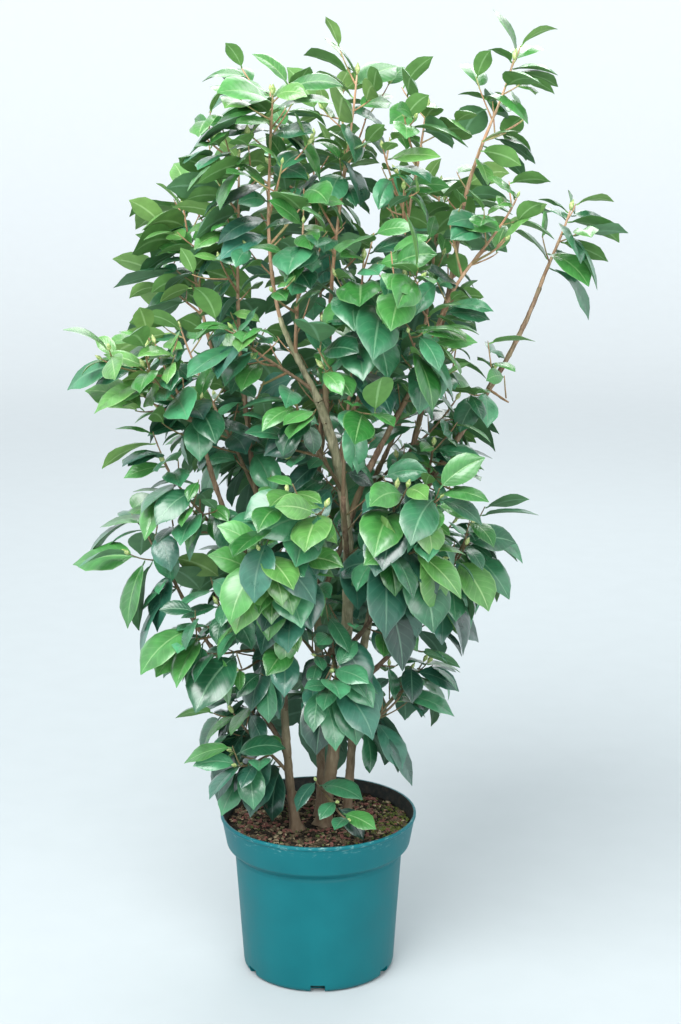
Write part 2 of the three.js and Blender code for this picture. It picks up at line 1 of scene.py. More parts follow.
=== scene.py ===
"""
Potted camellia shrub: the finish of every surface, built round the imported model.

Metres, +Z up, +Y away from the front, origin at the centre of the pot's flat underside. The crown
grows by the rule that the solids grew by, told again here in millimetres, and is then carried on to
short spurs with life-size leaves, inside the same spaces.
"""
import json
import math
from functools import lru_cache, partial

import bpy
import numpy as np
from bpy.props import FloatProperty, FloatVectorProperty, IntProperty, PointerProperty
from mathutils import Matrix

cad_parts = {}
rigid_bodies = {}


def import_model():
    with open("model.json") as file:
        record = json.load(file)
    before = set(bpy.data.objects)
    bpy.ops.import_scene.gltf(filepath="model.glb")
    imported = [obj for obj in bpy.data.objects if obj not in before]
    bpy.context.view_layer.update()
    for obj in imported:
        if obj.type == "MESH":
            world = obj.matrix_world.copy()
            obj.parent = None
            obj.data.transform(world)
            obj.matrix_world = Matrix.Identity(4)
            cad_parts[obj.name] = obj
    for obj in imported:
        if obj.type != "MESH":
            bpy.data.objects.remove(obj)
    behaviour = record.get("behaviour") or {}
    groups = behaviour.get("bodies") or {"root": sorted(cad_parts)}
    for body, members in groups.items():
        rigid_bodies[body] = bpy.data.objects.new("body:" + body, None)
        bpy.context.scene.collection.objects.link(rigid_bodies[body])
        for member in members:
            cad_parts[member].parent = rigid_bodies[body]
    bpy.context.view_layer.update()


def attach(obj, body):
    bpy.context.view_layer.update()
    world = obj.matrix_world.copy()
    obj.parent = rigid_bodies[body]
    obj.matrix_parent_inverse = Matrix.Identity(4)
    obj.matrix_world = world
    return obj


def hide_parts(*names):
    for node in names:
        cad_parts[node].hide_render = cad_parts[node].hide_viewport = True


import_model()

bl_info = {
    "name": "Potted Camellia Shrub",
    "version": (1, 0, 0),
    "blender": (4, 5, 0),
    "location": "3D View > Sidebar > Camellia",
    "description": "Builds the pot, compost, bark, twigs, leaves and buds of a camellia shrub",
    "category": "Add Mesh",
}

BODY = "root"
MM = 0.001  # the growth rule and the small sizes are in millimetres
UP = np.array([0.0, 0.0, 1.0])
AWAY = np.array([0.0, 1.0, 0.0])
GOLDEN_ANGLE = math.pi * (3 - math.sqrt(5))
TURN = 2 * math.pi


def linear(code):
    """A colour written as sRGB hex, as the linear red, green and blue that Blender works in."""
    parts = (int(code[i : i + 2], 16) / 255 for i in (0, 2, 4))
    return tuple(p / 12.92 if p <= 0.04045 else ((p + 0.055) / 1.055) ** 2.4 for p in parts)


def lerp(low, high, share):
    """The value that lies at a share of the way from low to high."""
    return low + (high - low) * share


def smoothstep(low, high, value):
    """Runs from 0 at low to 1 at high, with level ends: 3t^2 - 2t^3."""
    t = np.clip((value - low) / (high - low), 0, 1)
    return t * t * (3 - 2 * t)


# ---------------------------------------------------------------- the plant's driving dimensions, mm

SURFACE = 162  # height of the compost
RIM_HEIGHT = 180
RIM_RADIUS = 110
GAP = 0.3

# Stems: foot, two bend points, fork, and radii at foot and fork.
STEMS = {
    "trunk": ([6, 0], [[24, 8, 320], [60, -20, 500]], [2, -30, 648], [7.4, 4.8]),
    "stem_left": ([-24, -12], [[-38, -20, 240], [-32, -32, 310]], [-44, -32, 380], [5, 4]),
    "stem_right": ([32, 12], [[38, 16, 260], [44, 26, 370]], [72, 24, 450], [5, 4]),
    "stem_back": ([2, 28], [[4, 44, 250], [0, 82, 350]], [-4, 92, 440], [5, 4]),
}

# Boughs: parent limb, place along it, the bough's own tip, and radii at base and tip.
BOUGHS = {
    "bough_centre_left": ("trunk", 1, [-38, -42, 738], [3.9, 2.3]),
    "bough_centre": ("trunk", 0.95, [14, 0, 740], [3.7, 2.3]),
    "bough_mid_right": ("trunk", 0.84, [76, -8, 742], [3.4, 2.2]),
    "bough_upper_right": ("trunk", 0.7, [130, -26, 736], [3.5, 2.2]),
    "bough_front_high": ("trunk", 0.56, [28, -76, 556], [3.2, 2.2]),
    "bough_front_right": ("trunk", 0.4, [60, -70, 430], [3.1, 2.1]),
    "bough_left": ("stem_left", 1, [-114, -56, 590], [3.9, 2.3]),
    "bough_upper_left": ("stem_left", 0.9, [-82, 6, 690], [3.5, 2.2]),
    "bough_front": ("stem_left", 0.66, [-28, -86, 408], [3, 2.1]),
    "bough_low_left": ("stem_left", 0.4, [-146, -24, 432], [3, 2]),
    "bough_right": ("stem_right", 1, [236, 0, 766], [3.8, 2.2]),
    "bough_upright": ("stem_right", 0.9, [156, 26, 850], [3.5, 2.1]),
    "bough_low_right": ("stem_right", 0.5, [106, -8, 398], [3, 2]),
    "bough_back_left": ("stem_back", 1, [-114, 100, 668], [3.7, 2.2]),
    "bough_back": ("stem_back", 0.93, [4, 110, 672], [3.5, 2.2]),
    "bough_back_right": ("stem_back", 0.8, [108, 100, 656], [3.4, 2.2]),
    "bough_low_back": ("stem_back", 0.5, [28, 122, 384], [3, 2]),
}

# Shoots: parent limb, place along it, leading tip, side twigs, vigour, and flush: how much of the
# shoot's tip is this season's bright growth.
SHOOTS = {
    "foliage_top_left": ("bough_centre_left", 1, [-46, -42, 966], 4, 1, 0.3),
    "foliage_top_centre": ("bough_centre", 1, [42, 4, 984], 4, 1, 0.6),
    "foliage_top_mid": ("bough_mid_right", 1, [114, -6, 950], 3, 1, 0.3),
    "foliage_top_right": ("bough_upright", 1, [206, 26, 1000], 1, 0.8, 0.1),
    "foliage_upper_right": ("bough_upper_right", 1, [206, -38, 860], 2, 1, 0.2),
    "foliage_far_right": ("bough_right", 1, [266, 0, 846], 0, 0.9, 0.2),
    "foliage_upper_left": ("bough_upper_left", 1, [-82, 14, 900], 3, 1, 0.5),
    "foliage_back_left_top": ("bough_back_left", 1, [-150, 112, 846], 3, 1, 0.5),
    "foliage_back_top": ("bough_back", 1, [-6, 112, 915], 3, 1, 0.4),
    "foliage_back_right_top": ("bough_back_right", 1, [136, 116, 868], 3, 1, 0.3),
    "foliage_left": ("bough_left", 1, [-166, -60, 712], 3, 1, 0.9),
    "foliage_left_inner": ("bough_upper_left", 0.55, [-148, 30, 720], 2, 1, 0.3),
    "foliage_left_mid": ("bough_left", 0.42, [-158, -70, 588], 2, 1, 0.3),
    "foliage_centre_front": ("bough_front_high", 1, [48, -104, 800], 3, 1, 0),
    "foliage_centre": ("bough_centre_left", 0.55, [-12, -98, 836], 2, 1, 0),
    "foliage_centre_left": ("bough_centre_left", 0.1, [-84, -88, 730], 2, 1, 0),
    "foliage_centre_right": ("bough_upper_right", 0.5, [122, -92, 724], 3, 1, 0.1),
    "foliage_right_mid": ("bough_right", 0.6, [186, -44, 684], 1, 0.8, 0),
    "foliage_right_inner": ("bough_right", 0.26, [122, -58, 606], 2, 1, 0),
    "foliage_back_mid_left": ("bough_back_left", 0.42, [-118, 124, 620], 2, 1, 0.2),
    "foliage_back_mid": ("bough_back", 0.45, [18, 168, 680], 3, 1, 0.4),
    "foliage_back_mid_right": ("bough_back_right", 0.5, [156, 112, 630], 2, 1, 0.3),
    "foliage_heart": ("trunk", 0.78, [-20, -106, 654], 2, 1, 0),
    "foliage_front": ("bough_front", 1, [-28, -120, 545], 3, 1, 1),
    "foliage_front_right": ("bough_front_right", 1, [82, -112, 570], 3, 1, 0.5),
    "foliage_low_left": ("bough_low_left", 1, [-186, -26, 512], 0, 1, 0.4),
    "foliage_low_right": ("bough_low_right", 1, [166, -12, 508], 2, 1, 0.2),
    "foliage_skirt_left": ("stem_left", 0.8, [-104, -80, 440], 3, 1, 0.1),
    "foliage_skirt_front": ("trunk", 0.3, [16, -98, 414], 3, 1, 0),
    "foliage_low_back": ("bough_low_back", 1, [48, 142, 525], 3, 1, 0.4),
    "foliage_skirt_back_left": ("stem_back", 0.62, [-98, 92, 460], 3, 1, 0.2),
    "foliage_skirt_back_right": ("stem_right", 0.78, [120, 86, 470], 2, 1, 0.2),
    "foliage_foot_left": ("stem_left", 0.3, [-92, -36, 306], 2, 1, 0.6),
    "foliage_foot_front": ("trunk", 0.07, [-2, -46, 232], 2, 0.8, 0.8),
    "foliage_foot_right": ("stem_right", 0.32, [92, -20, 322], 2, 1, 0.3),
    "foliage_foot_back": ("stem_back", 0.28, [6, 106, 300], 2, 1, 0.3),
}

TRIES = 12
LEAF_SHRINK = 0.04  # each further try at a place is a smaller leaf
LEAF_LENGTH = (80, 102)
LEAF_WIDTH_SHARE = (0.52, 0.62)
LEAF_FOLD = 0.14  # rise of the margin over the midrib, as a share of the half width
TWIG_RADII = (2.1, 1.0)
SIDE_TWIG_RADII = (1.5, 0.9)
SIDE_TWIG_LENGTH = (62, 96)
REACH = 125  # of a leaf from its own shoot
SPACE_MARGIN = 1.2

# Spurs: the finer twigs that only this script grows.
SPUR = {
    "spacing": (15.5, 26.0), "length": (20, 44), "radii": (0.95, 0.65), "leaves": 5, "leaf_spacing": 9.5,
}
BOUGH_SPUR_SPACING = 20
SPURLESS = ("foliage_foot_front",)  # a few leaves alone over the bare foot of the stems
BARE_BOUGHS = ("bough_right", "bough_left", "bough_low_left")  # with no spurs of their own
LIFE_SIZE = (0.96, 0.9)  # length of a real leaf against the solids' larger ones, low and high up
BROADER = 1.05  # its width share against theirs
LEAF_CLEARANCE = {"solid": 9.0, "fine": 5.5}  # between leaves, in the solids' rule and on spurs
LEAF_FROM_LIMBS = 4.5
LEAF_FROM_TWIGS = 3.5
TWIG_FROM_LIMBS = 3.5
SPUR_FROM_LIMBS = 3
SPUR_FROM_LEAVES = 4
EYE = np.array([25.0, -1837.0, 900.0])  # where the camera stands
LOOKING_DOWN = math.radians(11.6)  # how far the camera tilts
PARTING = (512, 752)  # heights between which the crown parts in front and shows the trunk
PARTING_HALF_WIDTH = 7
PARTING_DEPTH = -15  # leaves nearer the front than this part
# Clearings, where the crown is open as seen from the front: across, height and radius.
CLEARINGS = (
    (236, 932, 30), (196, 782, 36), (235, 640, 50), (-248, 742, 24), (-150, 936, 29), (-60, 1010, 14),
    (-208, 452, 24), (106, 610, 13), (262, 722, 26), (44, 1036, 24), (88, 284, 21),
    (122, 268, 36), (196, 402, 32),
)
# Shoots whose leaves are larger or smaller than those round them.
LEAF_SCALE = {
    "foliage_far_right": 1.04, "foliage_front_right": 1.08, "foliage_foot_front": 0.95,
}


# ---------------------------------------------------------------- growth


def dice(seed):
    """A repeatable stream of numbers from 0 to 1, the same one as the solids were grown by."""
    mask = 0xFFFFFFFF
    state = seed & mask
    while True:
        state = (state + 0x6D2B79F5) & mask
        mixed = ((state ^ (state >> 15)) * (state | 1)) & mask
        mixed ^= (mixed + (mixed ^ (mixed >> 7)) * (mixed | 61)) & mask
        yield ((mixed ^ (mixed >> 14)) & mask) / 4294967296


def unit(vector):
    """The vector at a length of one."""
    return vector / np.linalg.norm(vector, axis=-1, keepdims=True)


def turned(vector, towards, angle):
    """A unit vector turned by an angle towards another that is square to it."""
    return vector * np.cos(angle) + towards * np.sin(angle)


def square_to(direction):
    """Two unit vectors square to a direction: over leans away from the front, across is beside it."""
    over = unit(AWAY - direction * (direction @ AWAY)[..., None])
    return np.cross(direction, over), over


def bezier(curve, t):
    """Cubic curve: its four points weighted by (1-t)^3, 3t(1-t)^2, 3t^2(1-t) and t^3."""
    t = np.asarray(t, dtype=float)[..., None]
    s = 1 - t
    return s**3 * curve[0] + 3 * t * s * s * curve[1] + 3 * t * t * s * curve[2] + t**3 * curve[3]


def tangent(curve, t):
    """Unit direction of the curve, from two points a ten-thousandth to either side."""
    t = np.asarray(t, dtype=float)
    return unit(bezier(curve, np.minimum(t + 1e-4, 1)) - bezier(curve, np.maximum(t - 1e-4, 0)))


def arc_length(curve):
    """Length of the curve as two hundred straight steps."""
    places = bezier(curve, np.linspace(0, 1, 201))
    return float(np.linalg.norm(np.diff(places, axis=0), axis=1).sum())


def limb_curve(start, parent_direction, tip, lean, lift):
    """Leaves its parent between the parent's direction and its own chord, and turns up at its tip."""
    chord = tip - start
    length = np.linalg.norm(chord)
    chord = chord / length
    leaving = unit(chord * (1 - lean) + parent_direction * lean)
    arriving = unit(chord + UP * lift)
    return np.array([start, start + leaving * 0.38 * length, tip - arriving * 0.34 * length, tip])


def start_on(limb, at):
    """Where a child starts: just past its parent's tip, or on the parent's centre line."""
    direction = tangent(limb["curve"], at)
    start = bezier(limb["curve"], at)
    return (start + direction * GAP if at == 1 else start), direction


def grow_limbs():
    """The stems and boughs: a centre line and the radii at its two ends."""
    limbs = {}
    for name, (foot, bends, tip, radii) in STEMS.items():
        curve = np.array([[*foot, SURFACE], *bends, tip], dtype=float)
        limbs[name] = {"curve": curve, "radii": radii, "flare": 4.5}
    for name, (parent, at, tip, radii) in BOUGHS.items():
        start, direction = start_on(limbs[parent], at)
        curve = limb_curve(start, direction, np.array(tip, float), 0.7 if at == 1 else 0.3, 0.5)
        limbs[name] = {"curve": curve, "radii": radii, "flare": 0}
    return limbs


def limb_radius(limb, t):
    """Even taper, and on a stem a root flare that fades over 11 mm."""
    curve = limb["curve"]
    above = np.maximum(0, t) * (curve[3, 2] - SURFACE)
    return lerp(*limb["radii"], t) + limb["flare"] * np.exp(-above / 11)


def chain(curve, radii, pieces):
    """A curve as straight pieces: their starts, ends, and the radius at each start."""
    t = np.linspace(0, 1, pieces + 1)
    places = bezier(curve, t)
    return places[:-1], places[1:], radii(t[:-1])


def distances(points, starts, ends):
    """Distance of each point to each segment: dropped onto its line and held between its ends."""
    along = ends - starts
    from_start = points[:, None] - starts
    share = np.einsum("pmk,mk->pm", from_start, along) / (along**2).sum(1)
    off = from_start - np.clip(share, 0, 1)[..., None] * along
    return np.sqrt((off**2).sum(2))


def clear_of(bars, points, clearance):
    """Every point further than clearance from the surface of every bar."""
    starts, ends, radii = bars
    return bool(np.all(distances(points, starts, ends) - radii > clearance))


def point_on_bar(axis, t):
    """A point on the straight steps of an axis's bar in the solids."""
    steps = axis["steps"]
    step = min(steps - 1, math.floor(t * steps))
    ends = bezier(axis["curve"], np.array([step, step + 1]) / steps)
    return lerp(ends[0], ends[1], t * steps - step)


def leaf_points(leaf, share, offset, lift, roll):
    """
    Points of a leaf. The midrib is an arc in an upright plane that starts at the leaf's pitch and
    bends down by its droop; offset is a distance across the blade and lift a height over its face.
    """
    slope = leaf["pitch"] - leaf["droop"] * share
    forward = leaf["length"] * (np.sin(leaf["pitch"]) - np.sin(slope)) / leaf["droop"]
    rise = leaf["length"] * (np.cos(slope) - np.cos(leaf["pitch"])) / leaf["droop"]
    cos, sin = np.cos(leaf["heading"]), np.sin(leaf["heading"])
    zero = np.zeros_like(cos * slope)
    ahead = np.stack([zero + cos, zero + sin, zero], -1)
    level = np.stack([zero - sin, zero + cos, zero], -1)
    face = turned(UP, ahead, -slope[..., None])
    roll = np.asarray(roll + zero)[..., None]
    across = turned(level, face, roll)
    normal = turned(face, level, -roll)
    place = ahead * forward[..., None] + UP * rise[..., None]
    return leaf["root"] + place + across * offset[..., None] + normal * lift[..., None]


def leaf_samples(leaf, rows, columns):
    """Points spread over a leaf's face, row by row, for the tests that keep it clear of things."""
    share = np.repeat(np.arange(1, rows + 1) / rows, columns)
    side = np.tile(np.linspace(-1, 1, columns), rows)
    outline = np.maximum(0, np.sin(math.pi * share**0.9)) ** 0.8
    offset = 0.5 * leaf["width"] * outline * side
    return leaf_points(leaf, share, offset, LEAF_FOLD * np.abs(offset), leaf["roll"])


def above_ground(points):
    """Above the compost and, lower than the rim, inside it."""
    near_rim = np.hypot(points[:, 0], points[:, 1]) > RIM_RADIUS - 14
    return bool(np.all(points[:, 2] > np.where(near_rim, RIM_HEIGHT + 6, SURFACE + 8)))


def roll_to_light(heading, slope, outward):
    """The roll that turns a leaf's face to the light, which comes from above and outside."""
    light = outward * 0.95 + UP * 0.8
    level = np.array([-math.sin(heading), math.cos(heading), 0])
    ahead = np.array([math.cos(heading), math.sin(heading), 0])
    face = turned(UP, ahead, -slope)
    return math.atan2(-(level @ light), max(0.2, face @ light))


def shape_leaf(root, direction, turn, order, scale, random):
    """A leaf at one place of an axis: order counts down from the tip, and the young ones stand up."""
    across, over = square_to(direction)
    outward = np.array([root[0], root[1], 0.0])
    outward /= max(60, np.linalg.norm(outward))
    towards = unit(turned(across, over, turn) * 0.85 + direction * 0.5 + outward * 0.3)
    young = math.exp(-order / 1.4)
    size = lerp(*LEAF_LENGTH, next(random)) * (1 - 0.34 * young) * scale
    heading = math.atan2(towards[1], towards[0])
    rested = math.radians(lerp(-44, -2, min(1, max(0, (root[2] - 250) / 700))))
    pitch = math.radians(38) * math.exp(-order / 2) + rested
    pitch += 0.4 * math.asin(towards[2]) + math.radians(lerp(-20, 20, next(random)))
    droop = math.radians(lerp(24, 66, next(random)))
    tilt = math.radians(lerp(-20, 20, next(random)))
    roll = 0.7 * roll_to_light(heading, pitch - 0.5 * droop, outward) + tilt
    width = size * lerp(*LEAF_WIDTH_SHARE, next(random)) * (1 - 0.2 * young)
    return {
        "root": root, "heading": heading, "pitch": pitch, "droop": droop, "roll": roll,
        "length": size, "width": width, "order": order,
    }


def seen_from_front(points):
    """Points dropped along the line of sight onto the upright plane through the pot's axis."""
    return EYE + (points - EYE) * (-EYE[1] / (points[:, 1:2] - EYE[1]))


def life_size(shoot, root):
    """Length of a real leaf at a place against the solids' larger ones: smaller higher up."""
    high = min(1, max(0, (root[2] - 330) / 560))
    return lerp(*LIFE_SIZE, high) * LEAF_SCALE.get(shoot["name"], 1)


class Crown:
    """Everything above the pot: limbs, shoots with their twigs, spurs and leaves."""

    def __init__(self):
        self.limbs = grow_limbs()
        chains = [
            chain(limb["curve"], lambda t, limb=limb: limb_radius(limb, t), 12)
            for limb in self.limbs.values()
        ]
        self.limb_chain = [np.concatenate(parts) for parts in zip(*chains)]
        shown = [self.limbs[name]["curve"] for name in ("trunk", "bough_centre_left")]
        line = np.concatenate([bezier(curve, np.linspace(0, 1, 40)) for curve in shown])
        self.parted = seen_from_front(line)
        self.shoots = []
        for index, (name, (parent, at, tip, twigs, vigour, flush)) in enumerate(SHOOTS.items()):
            start, direction = start_on(self.limbs[parent], at)
            curve = limb_curve(start, direction, np.array(tip, float), 0.8 if at == 1 else 0.1, 0.35)
            self.shoots.append({
                "name": name, "index": index, "curve": curve, "twigs": twigs,
                "vigour": vigour, "flush": flush,
            })
        spines = [chain(shoot["curve"], np.zeros_like, 6) for shoot in self.shoots]
        self.spine_starts, self.spine_ends = (np.concatenate(parts) for parts in list(zip(*spines))[:2])
        for shoot in self.shoots:
            self.grow_shoot(shoot)
        for number, name in enumerate(["trunk", *BOUGHS]):
            if name not in BARE_BOUGHS:
                self.grow_bough_spurs(name, 19 + number)

    def in_space(self, points, shoot):
        """Within reach of a shoot and nearer to it than to any other."""
        near = distances(points, self.spine_starts, self.spine_ends)
        near = near.reshape(len(points), len(self.shoots), -1).min(2)
        own = near[:, shoot["index"]].copy()
        near[:, shoot["index"]] = np.inf
        return bool(np.all(own <= REACH) and np.all(near.min(1) > own + SPACE_MARGIN))

    def clear_of_limbs(self, points, clearance):
        """Further than clearance from the bark of every limb."""
        return clear_of(self.limb_chain, points, clearance)

    def out_of_place(self, leaf):
        """Whether a leaf fills a clearing, or hides the trunk where the crown parts and shows it."""
        points = leaf_samples(leaf, 6, 5)
        seen = seen_from_front(points)
        middle = seen.mean(0)
        if any(math.hypot(middle[0] - x, middle[2] - z) < radius for x, z, radius in CLEARINGS):
            return True
        over = (seen[:, 2] > PARTING[0]) & (seen[:, 2] < PARTING[1])
        beside = np.abs(seen[:, 0] - np.interp(seen[:, 2], self.parted[:, 2], self.parted[:, 0]))
        return bool(np.any(over & (beside < PARTING_HALF_WIDTH) & (points[:, 1] < PARTING_DEPTH)))

    def grow_twigs(self, shoot, leading):
        """The side twigs of a shoot, spiralling up its leading stem."""
        length = arc_length(shoot["curve"])
        twigs = []
        for i in range(shoot["twigs"]):
            random = dice(7919 * (shoot["index"] + 1) + 101 * i)
            place = lerp(0.2, 0.72, (0.45 + i * (GOLDEN_ANGLE / math.pi)) % 1)
            for attempt in range(TRIES):
                turn = GOLDEN_ANGLE * (i + shoot["index"])
                turn += lerp(-0.7, 0.7, next(random)) * (1 + attempt)
                spread = math.radians(lerp(42, 62, next(random)))
                reach = lerp(*SIDE_TWIG_LENGTH, next(random)) * (1 - 0.08 * attempt)
                curve = self.side_curve(leading, place, turn, spread, reach, 0.12)
                probes = bezier(curve, [0.25, 0.5, 0.75, 1])
                if (
                    length > 0.6 * reach
                    and self.in_space(probes, shoot)
                    and self.clear_of_limbs(probes, TWIG_FROM_LIMBS)
                    and above_ground(probes)
                ):
                    twigs.append({
                        "curve": curve, "radii": SIDE_TWIG_RADII, "steps": 1, "bare": 0.2,
                        "parent": leading, "place": place,
                    })
                    break
        return twigs

    @staticmethod
    def side_curve(axis, place, turn, spread, reach, rise):
        """Centre line of a twig that leaves an axis at a place, turned round it and spread from it."""
        direction = tangent(axis["curve"], place)
        across, over = square_to(direction)
        heading = turned(direction, turned(across, over, turn), spread)
        start = point_on_bar(axis, place)
        return limb_curve(start, heading, start + heading * reach + UP * rise * reach, 0.5, 0.3)

    def grow_leaf(self, shoot, axis, place, order, stream, others, samples_so_far, fine_leaf):
        """The leaf at one place of an axis, or None where none fits."""
        random = dice(stream)
        root = point_on_bar(axis, place)
        direction = tangent(axis["curve"], place)
        clearance = LEAF_CLEARANCE["fine" if fine_leaf else "solid"]
        for attempt in range(TRIES):
            turn = GOLDEN_ANGLE * order + axis["number"]
            turn += lerp(-0.5, 0.5, next(random)) * (1 + attempt)
            scale = lerp(0.85, 1, shoot["vigour"]) * (1 - LEAF_SHRINK * attempt)
            if fine_leaf:
                scale *= life_size(shoot, root) * lerp(0.74, 1.08, next(random))
            leaf = shape_leaf(root, direction, turn, order, scale, random)
            if fine_leaf:
                leaf["roll"] += lerp(-0.45, 0.45, next(random))
                leaf["pitch"] += lerp(-0.25, 0.25, next(random))
            samples = leaf_samples(leaf, 4, 3)
            if not (self.in_space(samples, shoot) and above_ground(samples)):
                continue
            if len(samples_so_far):
                apart = np.linalg.norm(samples[:, None] - np.concatenate(samples_so_far), axis=2)
                if apart.min() <= clearance:
                    continue
            fine = leaf_samples(leaf, 8, 5)
            if (
                self.clear_of_limbs(fine[5:], LEAF_FROM_LIMBS)
                and not (fine_leaf and self.out_of_place(leaf))
                and clear_of(axis["chain"], fine[10:], LEAF_FROM_TWIGS)
                and (not others or clear_of(others, fine, LEAF_FROM_TWIGS))
            ):
                leaf["flush"] = shoot["flush"]
                leaf["place"] = place
                return leaf, samples
        return None

    def grow_shoot(self, shoot):
        """A shoot's axes and leaves as in the solids, then the spurs between them."""
        leading = {"curve": shoot["curve"], "radii": TWIG_RADII, "steps": 3, "bare": 0.12}
        axes = [leading, *self.grow_twigs(shoot, leading)]
        for number, axis in enumerate(axes):
            axis["number"] = number
            axis["chain"] = chain(axis["curve"], lambda t, a=axis: lerp(*a["radii"], t), axis["steps"])
            axis["leaves"] = []
        samples = []
        for axis in axes:
            others = [a["chain"] for a in axes if a is not axis]
            others = [np.concatenate(parts) for parts in zip(*others)]
            length = arc_length(axis["curve"])
            down, order = 3, 0
            while 1 - down / length > axis["bare"]:
                stream = 104729 * (shoot["index"] + 1) + 3571 * axis["number"] + 37 * order
                grown = self.grow_leaf(
                    shoot, axis, 1 - down / length, order, stream, others, samples, False
                )
                if grown:
                    axis["leaves"].append(grown[0])
                    samples.append(grown[1])
                down += lerp(9, 18.5, min(1, order / 3)) / shoot["vigour"]
                order += 1
        shoot["axes"] = axes
        shoot["spurs"] = []
        shoot["samples"] = []
        for axis in axes:
            for order, leaf in enumerate(axis["leaves"]):
                size = life_size(shoot, leaf["root"])
                size *= lerp(0.84, 1.12, (order * GOLDEN_ANGLE + shoot["index"]) % 1)
                leaf["length"] *= size
                leaf["width"] *= size * BROADER
                shoot["samples"].append(leaf_samples(leaf, 4, 3))
            axis["leaves"] = [leaf for leaf in axis["leaves"] if not self.out_of_place(leaf)]
        for axis in axes:
            self.grow_spurs(shoot, axis)

    def grow_bough_spurs(self, name, number):
        """Short leafy twigs straight from a bough, each in the space of the shoot it is nearest to."""
        limb = self.limbs[name]
        axis = {"curve": limb["curve"], "number": number, "steps": 12}
        axis["chain"] = chain(limb["curve"], lambda t: limb_radius(limb, t), 12)
        length = arc_length(limb["curve"])
        for i in range(int(length * 0.75 / BOUGH_SPUR_SPACING)):
            place = 1 - (12 + i * BOUGH_SPUR_SPACING) / length
            nearest = distances(bezier(limb["curve"], [place]), self.spine_starts, self.spine_ends)
            shoot = self.shoots[int(nearest.argmin()) * len(self.shoots) // nearest.size]
            self.grow_spur(shoot, axis, place, i, length)

    def grow_spurs(self, shoot, axis):
        """Short twigs up one axis, each with a few leaves close together at its tip."""
        length = arc_length(axis["curve"])
        middle = bezier(axis["curve"], 0.5)[2]
        spacing = lerp(*SPUR["spacing"], min(1, max(0, (middle - 420) / 460)))
        if shoot["name"] in SPURLESS:
            return
        for i in range(int(length / spacing)):
            place = 1 - (8 + (i + 0.25) * spacing) / length
            if place < axis["bare"] * 0.5:
                break
            self.grow_spur(shoot, axis, place, i, length)

    def grow_spur(self, shoot, axis, place, i, length):
        """One short twig with its leaves, where there is room for it."""
        everything = [np.concatenate(parts) for parts in zip(*(a["chain"] for a in shoot["axes"]))]
        samples = shoot["samples"]
        random = dice(15485863 * (shoot["index"] + 1) + 7907 * axis["number"] + 211 * i)
        place = min(0.99, place + 5 * next(random) / length)
        for attempt in range(TRIES):
            turn = GOLDEN_ANGLE * (i + 0.5) + axis["number"]
            turn += lerp(-0.8, 0.8, next(random)) * (1 + attempt)
            spread = math.radians(lerp(38, 68, next(random)))
            reach = lerp(*SPUR["length"], next(random)) * (1 - 0.05 * attempt)
            curve = self.side_curve(axis, place, turn, spread, reach, 0.2)
            probes = bezier(curve, [0.35, 0.7, 1])
            if not (
                self.in_space(probes, shoot)
                and self.clear_of_limbs(probes, SPUR_FROM_LIMBS)
                and above_ground(probes)
            ):
                continue
            if samples:
                apart = np.linalg.norm(probes[:, None] - np.concatenate(samples), axis=2)
                if apart.min() < SPUR_FROM_LEAVES:
                    continue
            spur = {"curve": curve, "radii": SPUR["radii"], "steps": 3}
            spur["number"] = 10 + axis["number"] * 20 + i
            spur["parent"] = axis
            spur["place"] = place
            spur["chain"] = chain(curve, lambda t: lerp(*SPUR["radii"], t), 3)
            spur["leaves"] = []
            spur["is_spur"] = True
            for order in range(SPUR["leaves"]):
                at = 1 - (2 + order * SPUR["leaf_spacing"]) / reach
                if at < 0.05:
                    break
                stream = 32452843 * (shoot["index"] + 1) + 541 * spur["number"] + 37 * order
                grown = self.grow_leaf(shoot, spur, at, order, stream, everything, samples, True)
                if grown:
                    grown[0]["width"] *= BROADER
                    spur["leaves"].append(grown[0])
                    samples.append(grown[1])
            if spur["leaves"]:
                shoot["spurs"].append(spur)
            break


@lru_cache(maxsize=1)
def crown():
    """The plant, grown once and read by every operator that builds a part of it."""
    return Crown()


# ---------------------------------------------------------------- surfaces


def closed_shells(rings, first_poles, last_poles):
    """
    Closed tubes from rings of points, shaped (tube, ring, point, xyz), with a pole closing each end.
    Rings run anticlockwise about the way from the first pole to the last, so faces point outwards.
    """
    tubes, rows, around = rings.shape[:3]
    size = rows * around + 2
    points = np.concatenate(
        [rings.reshape(tubes, -1, 3), first_poles[:, None], last_poles[:, None]], axis=1
    )
    row, column = np.mgrid[0 : rows - 1, 0:around]
    here, beside = row * around + column, row * around + (column + 1) % around
    quads = np.stack([here, beside, beside + around, here + around], -1).reshape(-1, 4)
    column = np.arange(around)
    after = (column + 1) % around
    end = (rows - 1) * around
    first = np.stack([np.full(around, size - 2), after, column], -1)
    last = np.stack([np.full(around, size - 1), end + column, end + after], -1)
    shift = (np.arange(tubes) * size)[:, None, None]
    quads = (quads + shift).reshape(-1, 4)
    triangles = (np.concatenate([first, last]) + shift).reshape(-1, 3)
    return points.reshape(-1, 3), quads, triangles


